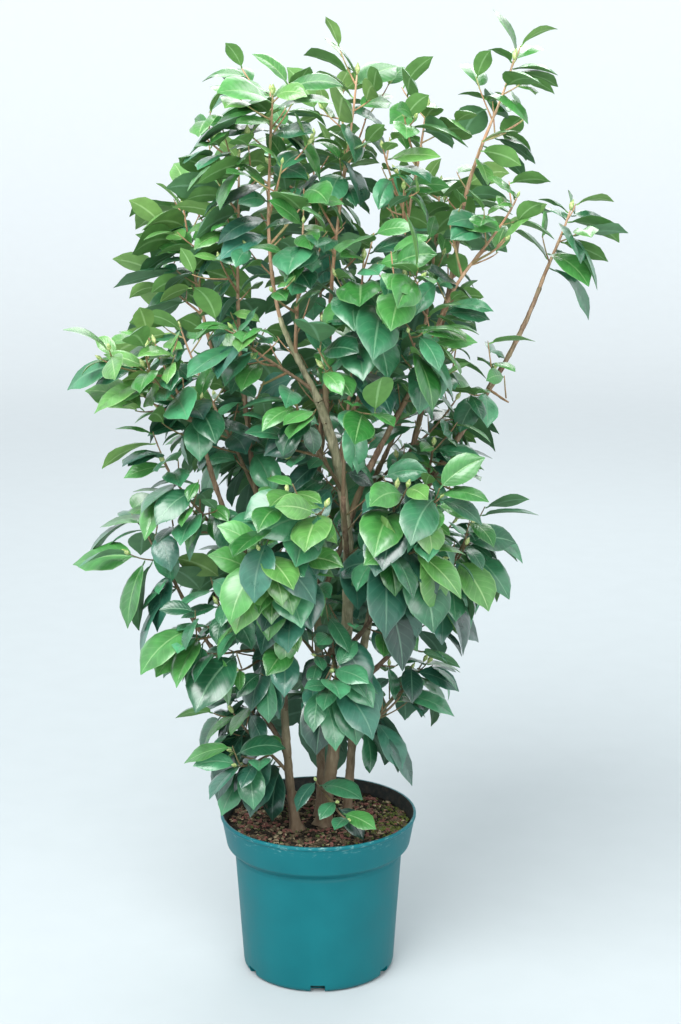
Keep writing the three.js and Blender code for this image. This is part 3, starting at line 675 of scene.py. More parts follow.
def make_piece(name, shell, materials, nodes, tint=None, uv=None, slots=None, sharp=40):
    """
    A finished piece. A shell is its points in millimetres and then index arrays, each of faces of one
    size; tint is one number a point, uv one place a point, slots a material a face.
    """
    points, *faces = shell
    points = points * MM
    mesh = bpy.data.meshes.new(name)
    loops = np.concatenate([f.ravel() for f in faces])
    sizes = np.concatenate([np.full(len(f), f.shape[1]) for f in faces])
    mesh.vertices.add(len(points))
    mesh.vertices.foreach_set("co", np.ascontiguousarray(points, dtype=np.float32).ravel())
    mesh.loops.add(len(loops))
    mesh.loops.foreach_set("vertex_index", loops.astype(np.int32))
    mesh.polygons.add(len(sizes))
    mesh.polygons.foreach_set("loop_start", (np.cumsum(sizes) - sizes).astype(np.int32))
    mesh.polygons.foreach_set("use_smooth", np.ones(len(sizes), dtype=bool))
    if slots is not None:
        mesh.polygons.foreach_set("material_index", slots.astype(np.int32))
    if uv is not None:
        layer = mesh.uv_layers.new(name="UVMap")
        layer.data.foreach_set("uv", uv[loops].astype(np.float32).ravel())
    if tint is not None:
        attribute = mesh.attributes.new("tint", "FLOAT", "POINT")
        attribute.data.foreach_set("value", tint.astype(np.float32))
    mesh.update(calc_edges=True)
    mesh.set_sharp_from_angle(angle=math.radians(sharp))
    for material in materials:
        mesh.materials.append(material)
    piece = bpy.data.objects.new(name, mesh)
    bpy.context.scene.collection.objects.link(piece)
    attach(piece, BODY)
    if nodes:
        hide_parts(*nodes)
    return piece


def tube_rings(curve, t, radius, around):
    """
    Rings along a curve: centre + radius(t, angle) * (over cos angle + across sin angle), so that a
    radius that changes with the angle carries relief.
    """
    direction = tangent(curve, t)
    across, over = square_to(direction)
    angle = TURN * np.arange(around) / around
    out = turned(over[:, None], across[:, None], angle[:, None])
    rings = bezier(curve, t)[:, None] + out * radius(t[:, None], angle)[..., None]
    return rings[None]


def merged(parts):
    """Several (points, quads, triangles) as one, with the faces' indices moved on."""
    counts = np.cumsum([0] + [len(p[0]) for p in parts])[:-1]
    return (
        np.concatenate([p[0] for p in parts]),
        np.concatenate([p[1] + n for p, n in zip(parts, counts)]),
        np.concatenate([p[2] + n for p, n in zip(parts, counts)]),
    )


def waves(places, size, seed, count=24):
    """
    Smooth unevenness from -1 to 1: the mean of cosines whose directions and phases are drawn at
    random and whose wavelengths lie round size, scaled up to fill the range.
    """
    random = np.random.default_rng(seed)
    ways = unit(random.normal(size=(count, places.shape[-1])))
    ways *= TURN / (size * random.uniform(0.7, 1.5, (count, 1)))
    phases = random.uniform(0, TURN, count)
    return np.cos(places @ ways.T + phases).sum(-1) * math.sqrt(2 / count) / 1.6


# ---------------------------------------------------------------- materials

# Sockets of the Mix node that mixes colours. A Map Range node's are 0 for the value, 1 and 2 for the
# ends that it runs between, and 3 and 4 for what it gives at those ends.
FACTOR, FIRST, SECOND, MIXED = 0, 6, 7, 2


def add_node(tree, kind, inputs=None, output=0, **settings):
    """
    Adds a node with its settings and links, and gives back one of its outputs. kind is the node's
    type less its first word, ShaderNode; inputs maps a socket to a value or to what feeds it.
    """
    node = tree.nodes.new("ShaderNode" + kind)
    for name, value in settings.items():
        setattr(node, name, value)
    for name, value in (inputs or {}).items():
        if isinstance(value, bpy.types.NodeSocket):
            tree.links.new(value, node.inputs[name])
        else:
            node.inputs[name].default_value = value
    return node.outputs[output] if node.outputs else None


def new_material(name):
    """An empty material, add_node for its own tree, and the Object coordinates that it follows."""
    material = bpy.data.materials.new(name)
    material.use_nodes = True
    material.node_tree.nodes.clear()
    add = partial(add_node, material.node_tree)
    return material, add, add("TexCoord", output="Object")


def rgba(colour):
    """A hex code or a linear colour with full alpha."""
    return (*(linear(colour) if isinstance(colour, str) else colour), 1.0)


def per(size):
    """Noise scale, in cycles a metre, for a feature of a size in millimetres."""
    return 1 / (size * MM)


def pot_material(look):
    """
    Injection-moulded polypropylene, satin: an even teal with the cloudiness of a thin wall, a faint
    orange-peel skin from the mould, and pale scuffs where trays and hands rub the rim.
    """
    material, add, place = new_material("moulded_polypropylene_teal")
    cloud = add("TexNoise", {"Vector": place, "Scale": per(45), "Detail": 3.0})
    cloudy = add("MapRange", {0: cloud, 1: 0.3, 2: 0.75, 3: 0.0, 4: 0.6})
    dark, light = rgba(look.pot_colour), rgba(look.pot_light_colour)
    teal = add("Mix", {FACTOR: cloudy, FIRST: dark, SECOND: light}, MIXED, data_type="RGBA")
    # Scuffs: streaks about 9 mm long round the pot and a third as high, in the wall's top 16 mm.
    stretched = add("Mapping", {"Vector": place, "Scale": (1.0, 1.0, 3.5)})
    streak = add("TexNoise", {"Vector": stretched, "Scale": per(9), "Detail": 6.0, "Roughness": 0.7})
    height = add("SeparateXYZ", {0: place}, "Z")
    foot, top = (RIM_HEIGHT - 16) * MM, (RIM_HEIGHT - 1) * MM
    near_rim = add("MapRange", {0: height, 1: foot, 2: top, 3: 0.0, 4: 1.0})
    rubbed = add("MapRange", {0: streak, 1: 0.56, 2: 0.7, 3: 0.0, 4: 0.5})
    scuff = add("Math", {0: near_rim, 1: rubbed}, operation="MULTIPLY")
    scuffed = {FACTOR: scuff, FIRST: teal, SECOND: rgba("a9cfcb")}
    # The orange peel is drawn 2.2 mm across, coarser than the real skin, so that it shows.
    peel = add("TexNoise", {"Vector": place, "Scale": per(2.2), "Detail": 2.0})
    shader = add("BsdfPrincipled", {
        "Base Color": add("Mix", scuffed, MIXED, data_type="RGBA"),
        "Roughness": add("MapRange", {0: cloud, 1: 0.3, 2: 0.7, 3: 0.4, 4: 0.52}),
        "IOR": 1.49, "Specular IOR Level": 0.25,
        "Normal": add("Bump", {"Strength": 0.18, "Distance": 0.0004, "Height": peel}),
    })
    add("OutputMaterial", {"Surface": shader})
    return material


def pot_lining_material():
    """The pot's black inner layer: the same plastic, duller, filmed with dried splashes of peat."""
    material, add, place = new_material("black_polypropylene_lining")
    film = add("TexNoise", {"Vector": place, "Scale": per(7), "Detail": 6.0, "Roughness": 0.7})
    share = add("MapRange", {0: film, 1: 0.45, 2: 0.75, 3: 0.0, 4: 0.8})
    filmed = {FACTOR: share, FIRST: rgba("16201f"), SECOND: rgba("4c4138")}
    shader = add("BsdfPrincipled", {
        "Base Color": add("Mix", filmed, MIXED, data_type="RGBA"), "Roughness": 0.6,
        "Normal": add("Bump", {"Strength": 0.3, "Distance": 0.0005, "Height": film}),
    })
    add("OutputMaterial", {"Surface": shader})
    return material


def grit_material(name, dark, light, size, roughness=0.95):
    """
    Peat, bark or moss: matt, crumbly, and never one colour. Grains of a size in millimetres vary it
    from dark to light, and finer ones break its surface.
    """
    material, add, place = new_material(name)
    grain = add("TexNoise", {"Vector": place, "Scale": per(size), "Detail": 5.0, "Roughness": 0.65})
    share = add("MapRange", {0: grain, 1: 0.36, 2: 0.66, 3: 0.0, 4: 1.0})
    grained = {FACTOR: share, FIRST: rgba(dark), SECOND: rgba(light)}
    fine = add("TexNoise", {"Vector": place, "Scale": per(size * 0.3), "Detail": 4.0})
    shader = add("BsdfPrincipled", {
        "Base Color": add("Mix", grained, MIXED, data_type="RGBA"),
        "Roughness": roughness, "Specular IOR Level": 0.25,
        "Normal": add("Bump", {"Strength": 0.7, "Distance": 0.0012, "Height": fine}),
    })
    add("OutputMaterial", {"Surface": shader})
    return material


def bark_material(name, dark, light, flush, roughness, foot):
    """
    Camellia bark: thin, smooth and dry. Streaks run up the limb, small pale pores dot it, and warmer
    patches of young cork lie between them. foot is the colour of the older bark lower down, the
    heights in metres over which it gives way to the younger, and how much of it there is at most. On
    the twigs this darker foot is also painted shade for the twigs inside the crown.
    """
    material, add, place = new_material(name)
    upright = add("Mapping", {"Vector": place, "Scale": (1.0, 1.0, 0.22)})
    streak = add("TexNoise", {"Vector": upright, "Scale": per(3.2), "Detail": 5.0, "Roughness": 0.6})
    share = add("MapRange", {0: streak, 1: 0.34, 2: 0.66, 3: 0.0, 4: 1.0})
    streaked = {FACTOR: share, FIRST: rgba(dark), SECOND: rgba(light)}
    wood = add("Mix", streaked, MIXED, data_type="RGBA")
    patch = add("TexNoise", {"Vector": place, "Scale": per(26), "Detail": 2.0})
    warm = add("MapRange", {0: patch, 1: 0.48, 2: 0.66, 3: 0.0, 4: 0.75})
    warmed = add("Mix", {FACTOR: warm, FIRST: wood, SECOND: rgba(flush)}, MIXED, data_type="RGBA")
    # Darker lower down: older bark, and on the twigs also painted shade inside the crown.
    older, low, high, most = foot
    height = add("SeparateXYZ", {0: place}, "Z")
    near_foot = add("MapRange", {0: height, 1: low, 2: high, 3: most, 4: 0.0})
    aged_and_shaded = {FACTOR: near_foot, FIRST: warmed, SECOND: rgba(older)}
    ridges = add("Bump", {"Strength": 0.5, "Distance": 0.0006, "Height": streak})
    pores = add("TexVoronoi", {"Vector": upright, "Scale": per(2.4)}, "Distance")
    dots = {"Strength": 0.25, "Distance": 0.0004, "Height": pores, "Normal": ridges}
    shader = add("BsdfPrincipled", {
        "Base Color": add("Mix", aged_and_shaded, MIXED, data_type="RGBA"),
        "Roughness": roughness, "Specular IOR Level": 0.3, "Normal": add("Bump", dots),
    })
    add("OutputMaterial", {"Surface": shader})
    return material


def leaf_material(name, dark, light, rib, roughness):
    """
    The upper face of a camellia leaf: thick, waxy and glossy. A pale midrib sinks into it, side
    veins run forward from the midrib and quilt the blade, and the margin is paler.
    The leaf's own map runs across it from 0 to 1 and up it from 0 to 1.
    """
    material, add, place = new_material(name)
    tint = add("Attribute", output="Fac", attribute_name="tint")
    base = add("Mix", {FACTOR: tint, FIRST: rgba(dark), SECOND: rgba(light)}, MIXED, data_type="RGBA")
    across = add("SeparateXYZ", {0: add("UVMap", uv_map="UVMap")}, "X")
    up = across.node.outputs["Y"]
    side = add("Math", {0: add("Math", {0: across, 1: 0.5}, operation="SUBTRACT")}, operation="ABSOLUTE")
    # Nine side veins to each half, 9 mm apart on a leaf of 80 mm, which run forward to the margin.
    along = add("Math", {0: up, 1: 9.0 * TURN}, operation="MULTIPLY")
    forward = add("Math", {0: side, 1: 4.4 * TURN}, operation="MULTIPLY")
    phase = add("Math", {0: along, 1: forward}, operation="SUBTRACT")
    quilt = add("Math", {0: phase}, operation="COSINE")
    vein = add("MapRange", {0: quilt, 1: 0.8, 2: 1.0, 3: 0.0, 4: 0.09})
    midrib = add("MapRange", {0: side, 1: 0.01, 2: 0.036, 3: 0.5, 4: 0.0})
    margin = add("MapRange", {0: side, 1: 0.45, 2: 0.498, 3: 0.0, 4: 0.3})
    edged = add("Math", {0: midrib, 1: margin}, operation="MAXIMUM")
    lines = add("Math", {0: edged, 1: vein}, operation="MAXIMUM")
    blotch = add("TexNoise", {"Vector": place, "Scale": per(14), "Detail": 3.0})
    shade = add("MapRange", {0: blotch, 1: 0.3, 2: 0.7, 3: 0.78, 4: 1.2})
    mottled = add("VectorMath", {0: base, 1: shade}, operation="MULTIPLY")
    veined = {FACTOR: lines, FIRST: mottled, SECOND: rgba(rib)}
    gloss = {0: blotch, 1: 0.3, 2: 0.7, 3: roughness - 0.05, 4: roughness + 0.08}
    sunk = add("Math", {0: quilt, 1: -0.16}, operation="MULTIPLY")
    groove = add("Math", {0: sunk, 1: midrib}, operation="SUBTRACT")
    shader = add("BsdfPrincipled", {
        "Base Color": add("Mix", veined, MIXED, data_type="RGBA"),
        "Roughness": add("MapRange", gloss), "IOR": 1.48, "Coat Weight": 0.85, "Coat Roughness": 0.27,
        "Normal": add("Bump", {"Strength": 0.55, "Distance": 0.0007, "Height": groove}),
    })
    add("OutputMaterial", {"Surface": shader})
    return material


def underside_material(name, colour, rib):
    """The under face of a camellia leaf: paler, yellower and matt, with a raised pale midrib."""
    material, add, place = new_material(name)
    across = add("SeparateXYZ", {0: add("UVMap", uv_map="UVMap")}, "X")
    side = add("Math", {0: add("Math", {0: across, 1: 0.5}, operation="SUBTRACT")}, operation="ABSOLUTE")
    midrib = add("MapRange", {0: side, 1: 0.02, 2: 0.06, 3: 0.8, 4: 0.0})
    blotch = add("TexNoise", {"Vector": place, "Scale": per(12), "Detail": 3.0})
    shade = add("MapRange", {0: blotch, 1: 0.3, 2: 0.7, 3: 0.85, 4: 1.12})
    mottled = add("VectorMath", {0: linear(colour), 1: shade}, operation="MULTIPLY")
    ribbed = {FACTOR: midrib, FIRST: mottled, SECOND: rgba(rib)}
    shader = add("BsdfPrincipled", {
        "Base Color": add("Mix", ribbed, MIXED, data_type="RGBA"),
        "Roughness": 0.62, "Specular IOR Level": 0.35,
        "Normal": add("Bump", {"Strength": 0.4, "Distance": 0.0006, "Height": midrib}),
    })
    add("OutputMaterial", {"Surface": shader})
    return material


def bud_material():
    """Bud scales: silky, pale green, with a warmer edge to each overlapping scale."""
    material, add, place = new_material("silky_bud_scales")
    scale = add("TexNoise", {"Vector": place, "Scale": per(2.5), "Detail": 3.0})
    share = add("MapRange", {0: scale, 1: 0.38, 2: 0.62, 3: 0.0, 4: 1.0})
    edged = {FACTOR: share, FIRST: rgba("86a655"), SECOND: rgba("c9cf92")}
    shader = add("BsdfPrincipled", {
        "Base Color": add("Mix", edged, MIXED, data_type="RGBA"), "Roughness": 0.5,
        "Normal": add("Bump", {"Strength": 0.4, "Distance": 0.0005, "Height": scale}),
    })
    add("OutputMaterial", {"Surface": shader})
    return material


def floor_material(look):
    """A matt painted sweep lit from behind: one pale cool tone with the faintest roller mark."""
    material, add, place = new_material("matt_painted_floor")
    roller = add("TexNoise", {"Vector": place, "Scale": per(60), "Detail": 2.0})
    shade = add("MapRange", {0: roller, 1: 0.3, 2: 0.7, 3: 0.99, 4: 1.01})
    # The backdrop glows more the further it lies from the plant, from 0.6 m out to 8 m.
    out = add("VectorMath", {0: place}, "Value", operation="LENGTH")
    shader = add("BsdfPrincipled", {
        "Base Color": add("VectorMath", {0: tuple(look.floor_colour), 1: shade}, operation="MULTIPLY"),
        "Roughness": 0.9, "Specular IOR Level": 0.1, "Emission Color": rgba("fafdff"),
        "Emission Strength": add("MapRange", {0: out, 1: 0.6, 2: 8.0, 3: 0.0, 4: look.glow}),
    })
    add("OutputMaterial", {"Surface": shader})
    return material


# ---------------------------------------------------------------- settings

# What every length and every colour among the settings says.
LENGTH = {"unit": "LENGTH", "subtype": "DISTANCE"}
COLOUR = {"subtype": "COLOR", "size": 3, "min": 0, "max": 1}


class CamelliaPotSettings(bpy.types.PropertyGroup):
    """Sizes and colours of the pot."""

    rim_radius: FloatProperty(
        name="Rim radius", description="Outside radius of the rolled rim",
        default=RIM_RADIUS * MM, min=0.05, **LENGTH,
    )
    wall: FloatProperty(
        name="Wall", description="Thickness of the moulded wall",
        default=0.002, min=0.001, max=0.005, **LENGTH,
    )
    pot_colour: FloatVectorProperty(
        name="Colour", description="Main colour of the plastic", default=linear("015e65"), **COLOUR,
    )
    pot_light_colour: FloatVectorProperty(
        name="Cloudy colour", description="Colour of its lighter clouds",
        default=linear("056970"), **COLOUR,
    )


class CamelliaCompostSettings(bpy.types.PropertyGroup):
    """How the compost's surface is strewn."""

    chips: IntProperty(
        name="Chips", description="Number of bark chips and crumbs", default=2400, min=0, max=6000
    )
    heave: FloatProperty(
        name="Heave", description="Unevenness of the surface",
        default=0.003, min=0, max=0.01, **LENGTH,
    )


class CamelliaPlantSettings(bpy.types.PropertyGroup):
    """Finish of the bark and the leaves."""

    bark_relief: FloatProperty(
        name="Bark relief", description="Depth of the ridges in the bark",
        default=0.00045, min=0, max=0.002, **LENGTH,
    )
    leaf_thickness: FloatProperty(
        name="Leaf thickness", description="Thickness of a blade at its midrib",
        default=0.0009, min=0.0003, max=0.002, **LENGTH,
    )
    bud_length: FloatProperty(
        name="Bud length", description="Length of a bud at the tip of a shoot",
        default=0.012, min=0.004, max=0.03, **LENGTH,
    )


class CamelliaStageSettings(bpy.types.PropertyGroup):
    """Floor, light and camera."""

    floor_colour: FloatVectorProperty(
        name="Floor", description="Colour of the floor", default=linear("b0b7b9"), **COLOUR,
    )
    key_power: FloatProperty(
        name="Key light", description="Power of the soft light above, in watts", default=141, min=0
    )
    fill_power: FloatProperty(
        name="Fill light", description="Power of the soft light in front, in watts", default=50, min=0
    )
    rim_power: FloatProperty(
        name="Rim light", description="Power of the soft light behind, in watts", default=60, min=0
    )
    sky_strength: FloatProperty(
        name="Sky", description="Strength of the even light from all round", default=0.6, min=0
    )
    glow: FloatProperty(
        name="Backdrop glow", description="Light that the lit backdrop gives off itself",
        default=0.62, min=0,
    )
    lens: FloatProperty(
        name="Lens", description="Focal length of the camera", default=60.64, min=10,
        unit="CAMERA",
    )


class CamelliaSettings(bpy.types.PropertyGroup):
    """All settings of the shrub."""

    pot: PointerProperty(type=CamelliaPotSettings)
    compost: PointerProperty(type=CamelliaCompostSettings)
    plant: PointerProperty(type=CamelliaPlantSettings)
    stage: PointerProperty(type=CamelliaStageSettings)


# ---------------------------------------------------------------- pot

POT_SIDES = 144
COLLAR_FOOT = (103, 145)
SHOULDER = (94.5, 138)
BASE_RADIUS = 85
FLOOR = 3
# Drain slots round the foot and drain holes in the base: name, how many, the first one's turn as a
# share of the step between them, and the low and high corners of the box that cuts each.
DRAIN_CUTS = (
    ("slot", 6, 0.5, (73, -8, -9), (97, 8, 9)),
    ("hole", 4, 0, (35, -7, -6), (49, 7, 6)),
)


def rounded_outline(corners, steps=5):
    """
    An outline through corners (radius, height, rounding): each corner is the parabola that leaves one
    side its rounding before the corner and joins the next side its rounding after it.
    """
    corners = np.array(corners, dtype=float)
    places, rounding = corners[:, :2], corners[:, 2]
    made = [places[:1]]
    t = np.linspace(0, 1, steps + 1)[:, None]
    for before, here, after, size in zip(places, places[1:], places[2:], rounding[1:]):
        start = here + unit(before - here) * min(size, 0.49 * np.linalg.norm(before - here))
        end = here + unit(after - here) * min(size, 0.49 * np.linalg.norm(after - here))
        made.append((1 - t) ** 2 * start + 2 * t * (1 - t) * here + t * t * end)
    made.append(places[-1:])
    return np.concatenate(made)


def lathe(outline, sides, offset=None):
    """
    A surface turned about Z: (r cos a, r sin a, z) for each outline point (r, z), closed by a pole
    at each end. offset(angle, radius, height) adds to the height.
    """
    angle = TURN * np.arange(sides) / sides
    r, z = outline[1:-1, 0][:, None], outline[1:-1, 1][:, None]
    height = z + (offset(angle, r, z) if offset else 0 * angle)
    rings = np.stack([r * np.cos(angle), r * np.sin(angle), height + 0 * angle], -1)
    poles = np.array([[0, 0, outline[0, 1]], [0, 0, outline[-1, 1]]])
    return closed_shells(rings[None], poles[:1], poles[1:])


def cut_away(piece, cutters):
    """Cuts the cutters out of a piece for good, and removes them."""
    for cutter in cutters:
        cut = piece.modifiers.new("cut", "BOOLEAN")
        cut.operation = "DIFFERENCE"
        cut.solver = "EXACT"
        cut.object = cutter
    graph = bpy.context.evaluated_depsgraph_get()
    made = bpy.data.meshes.new_from_object(piece.evaluated_get(graph))
    piece.modifiers.clear()
    piece.data = made
    made.name = piece.name
    made.set_sharp_from_angle(angle=math.radians(40))
    for cutter in cutters:
        bpy.data.objects.remove(cutter)


def box_cutter(name, low, high, angle):
    """A box from low to high, turned about Z, as a shell of two rings."""
    (x0, y0, z0), (x1, y1, z1) = low, high
    ring = np.array([[x0, y0], [x1, y0], [x1, y1], [x0, y1]])
    turn = np.array([[math.cos(angle), -math.sin(angle)], [math.sin(angle), math.cos(angle)]])
    ring = ring @ turn.T
    middle = ring.mean(0)
    rings = np.stack([np.column_stack([ring, np.full(4, z)]) for z in (z0, z1)])[None]
    points, quads, triangles = closed_shells(
        rings, np.array([[*middle, z0]]), np.array([[*middle, z1]])
    )
    mesh = bpy.data.meshes.new(name)
    mesh.from_pydata((points * MM).tolist(), [], quads.tolist() + triangles.tolist())
    cutter = bpy.data.objects.new(name, mesh)
    bpy.context.scene.collection.objects.link(cutter)
    return cutter


class CAMELLIA_OT_pot(bpy.types.Operator):
    """Turns the nursery pot: tapered wall, stepped collar, rolled rim and drain slots"""

    bl_idname = "camellia.pot"
    bl_label = "Pot"

    def execute(self, context):
        look = context.scene.camellia.pot
        rim, wall = look.rim_radius / MM, look.wall / MM
        corners = [
            (0, 0, 0), (BASE_RADIUS, 0, 7), (SHOULDER[0] - 0.6, SHOULDER[1] - 5, 1.5),
            (SHOULDER[0] - 1.3, SHOULDER[1] - 2.5, 0.6), (SHOULDER[0] - 0.9, SHOULDER[1] - 0.6, 0.5),
            (*COLLAR_FOOT, 2.2),
            (rim - 1.4, RIM_HEIGHT - 4.6, 0.8), (rim, RIM_HEIGHT - 3.6, 1.0), (rim, RIM_HEIGHT, 1.3),
            (rim - 3.2, RIM_HEIGHT, 1.2), (rim - 3.4, RIM_HEIGHT - 3, 0.8),
            (COLLAR_FOOT[0] - wall, COLLAR_FOOT[1], 2), (SHOULDER[0] - wall, SHOULDER[1], 2),
            (BASE_RADIUS - wall, FLOOR, 5), (0, FLOOR, 0),
        ]
        shell = lathe(rounded_outline(corners), POT_SIDES)
        # The inner face is a layer of its own, extruded in black to keep light from the roots.
        middle = ([0, SHOULDER[1], COLLAR_FOOT[1], RIM_HEIGHT - 2, RIM_HEIGHT],
                  [BASE_RADIUS - 1.4, SHOULDER[0] - 1.65, COLLAR_FOOT[0] - 1, rim - 2.2, rim - 3])
        inside = []
        for faces in shell[1:]:
            centre = shell[0][faces].mean(1)
            radius = np.hypot(centre[:, 0], centre[:, 1])
            inside.append((radius < np.interp(centre[:, 2], *middle)) & (centre[:, 2] > FLOOR - 0.1))
        piece = make_piece(
            "pot_shell", shell, [pot_material(look), pot_lining_material()], ["pot"],
            slots=np.concatenate(inside),
        )
        cut_away(piece, [
            box_cutter(name, low, high, TURN * (i + first) / count)
            for name, count, first, low, high in DRAIN_CUTS for i in range(count)
        ])
        return {"FINISHED"}


# ---------------------------------------------------------------- compost

COMPOST_EDGE = 104
COMPOST_SIDES = 240

# Chips and crumbs: name, number against the setting, size in mm from and to, flatness, colours.
CHIP_KINDS = (
    ("peat_crumbs", 0.36, (2, 5.5), 0.75, ("1e1a13", "4a4334")),
    ("bark_chips_red", 0.2, (3, 10), 0.35, ("65403a", "93655a")),
    ("bark_chips_tan", 0.16, (2.5, 8), 0.3, ("83745a", "b0a283")),
    ("bark_chips_brown", 0.2, (3, 10), 0.4, ("453a2c", "776a52")),
    ("moss_crumbs", 0.14, (2, 5), 0.7, ("3c4c2a", "6c7c48")),
)
MOSS_CUSHIONS = 460
MOSS_TOWARDS = -0.15  # the side that the moss grows on, as an angle about Z
MOSS_SPREAD = 0.42


def compost_height(places, heave):
    """Height of the compost over its level, from x and y: broad swells, lumps and crumbs, in mm."""
    out = np.hypot(places[..., 0], places[..., 1])
    swell = 0.6 * waves(places, 60, 5) * smoothstep(20, 60, out) + 1.1 * smoothstep(40, 96, out)
    return heave * (swell + 0.35 * waves(places, 14, 6) + 0.22 * waves(places, 5, 7) - 0.2)


def crumbs(places, sizes, turns, random, rows=3, around=6):
    """
    Small angular lumps. Each is a globe of a few rings, stretched to its three sizes, dented by
    drawing every corner in or out by up to a third, then tipped and turned.
    """
    count = len(places)
    latitude = math.pi * (np.arange(rows) + 1) / (rows + 1)
    angle = TURN * np.arange(around) / around
    globe = np.stack([
        np.sin(latitude)[:, None] * np.cos(angle), np.sin(latitude)[:, None] * np.sin(angle),
        -np.cos(latitude)[:, None] + 0 * angle,
    ], -1)
    rings = globe[None] * random.uniform(0.7, 1.3, (count, rows, around, 1))
    poles = np.tile([[0, 0, -1.0], [0, 0, 1.0]], (count, 1, 1))
    shells = np.concatenate([rings.reshape(count, -1, 3), poles], 1)
    shells = shells * sizes[:, None] / 2
    spin, tip = turns[:, 0][:, None], turns[:, 1][:, None]
    x, y, z = np.moveaxis(shells, -1, 0)
    y, z = y * np.cos(tip) - z * np.sin(tip), y * np.sin(tip) + z * np.cos(tip)
    x, y = x * np.cos(spin) - y * np.sin(spin), x * np.sin(spin) + y * np.cos(spin)
    shells = np.stack([x, y, z], -1) + places[:, None]
    return closed_shells(
        shells[:, :-2].reshape(count, rows, around, 3), shells[:, -2], shells[:, -1]
    )


def strewn(count, heave, random, inner=16, outer=101, towards=None, spread=None):
    """Places strewn evenly over the compost between two radii, or thickly round one angle."""
    radius = np.sqrt(random.uniform(inner**2, outer**2, count))
    angle = random.uniform(0, TURN, count)
    if towards is not None:
        angle = towards + random.normal(0, spread, count)
        radius = outer - np.abs(random.normal(0, 16, count))
    flat = np.stack([radius * np.cos(angle), radius * np.sin(angle)], -1)
    return np.column_stack([flat, SURFACE + compost_height(flat, heave)])


class CAMELLIA_OT_compost(bpy.types.Operator):
    """Fills the pot with compost, uneven on top"""

    bl_idname = "camellia.compost"
    bl_label = "Compost"

    def execute(self, context):
        heave = context.scene.camellia.compost.heave / MM
        radii = np.linspace(COMPOST_EDGE, 0.8, 96)
        top = np.column_stack([radii, np.full_like(radii, SURFACE)])
        edge = [(0, 4, 0), (80, 4, 3), (91, SHOULDER[1] - 2, 2), (99.5, COLLAR_FOOT[1] + 1, 2),
                (COMPOST_EDGE, SURFACE, 0)]
        outline = np.concatenate([rounded_outline(edge, 2), top[1:], [[0, SURFACE]]])

        def offset(angle, radius, height):
            places = np.stack([radius * np.cos(angle), radius * np.sin(angle)], -1)
            return np.where(height > SURFACE - 0.01, compost_height(places, heave), 0)

        shell = lathe(outline, COMPOST_SIDES, offset)
        shell[0][-1, 2] += compost_height(np.zeros((1, 2)), heave)[0]
        peat = grit_material("peat_compost", "100d0a", "2c251c", 5)
        make_piece("compost_bed", shell, [peat], ["compost"])
        return {"FINISHED"}


class CAMELLIA_OT_chips(bpy.types.Operator):
    """Strews bark chips, crumbs and moss over the compost"""

    bl_idname = "camellia.chips"
    bl_label = "Chips and moss"

    def execute(self, context):
        settings = context.scene.camellia.compost
        heave, count = settings.heave / MM, settings.chips
        random = np.random.default_rng(11)
        for name, share, (small, large), flat, colours in CHIP_KINDS:
            number = int(count * share)
            places = strewn(number, heave, random)
            length = random.uniform(small, large, number)
            breadth = length * random.uniform(0.4, 0.75, number)
            sizes = np.column_stack([length, breadth, length * flat])
            turns = np.column_stack([random.uniform(0, TURN, number), random.normal(0, 0.5, number)])
            places[:, 2] += 0.2 * sizes[:, 2]
            chips = crumbs(places, sizes, turns, random)
            make_piece(name, chips, [grit_material(name, *colours, 2)], [], sharp=28)
        number = MOSS_CUSHIONS
        places = strewn(number, heave, random, towards=MOSS_TOWARDS, spread=MOSS_SPREAD)
        length = random.uniform(2.0, 5.0, number)
        sizes = np.column_stack([length, length, length * 0.7])
        turns = np.column_stack([random.uniform(0, TURN, number), random.normal(0, 0.6, number)])
        cushions = crumbs(places, sizes, turns, random)
        moss = grit_material("moss", "3a4a1e", "75803d", 1.6)
        make_piece("moss_cushions", cushions, [moss], [], sharp=60)
        return {"FINISHED"}


# ---------------------------------------------------------------- wood


def bark_tube(limb, seed, relief):
    """
    A limb with its bark: the tapering radius, plus ridges that run up it and drift round it, low
    lumps, old leaf scars as rings every 20 mm or so, and a collar where it leaves its parent.
    """
    curve = limb["curve"]
    length = arc_length(curve)
    random = np.random.default_rng(seed)
    start = -6 / length if limb["flare"] else -1.5 / length
    t = np.linspace(start, 1, int(length / 2.2) + 4)
    phase = random.uniform(0, TURN, 8)
    scars = np.cumsum(random.uniform(13, 27, int(length / 13) + 1))
    scar_angles = random.uniform(0, TURN, len(scars))

    def radius(t, angle):
        s = t * length
        ridges = np.sin(5 * angle + 0.05 * s + phase[0])
        ridges = ridges + 0.8 * np.sin(8 * angle - 0.08 * s + phase[1])
        ridges += 0.6 * np.sin(3 * angle + 0.03 * s + phase[2]) * np.sin(0.21 * s + phase[3])
        lumps = np.sin(0.33 * s + phase[4] + np.cos(angle + phase[5]))
        lumps = lumps + np.sin(0.11 * s + 2 * angle + phase[6])
        near = np.exp(-(((s[..., None] - scars) / 1.6) ** 2))
        facing = 0.55 + 0.45 * np.cos(angle[..., None] - scar_angles)
        rings = (near * facing).sum(-1)
        made = limb_radius(limb, t) + relief * (0.5 * ridges + 0.45 * lumps + 1.3 * rings)
        if limb["flare"]:
            made = made * (1 + 0.2 * np.cos(4 * angle + phase[7]) * np.exp(-np.maximum(s, 0) / 14))
        else:
            made = made + 1.1 * np.exp(-np.maximum(s, 0) / 5)
        return made * np.where(s > length - 1.5, 0.86, 1)

    rings = tube_rings(curve, t, radius, 18)
    direction = tangent(curve, 1.0)
    first = rings[:, 0].mean(1)
    last = rings[:, -1].mean(1) + direction * 1.2
    return closed_shells(rings, first, last)


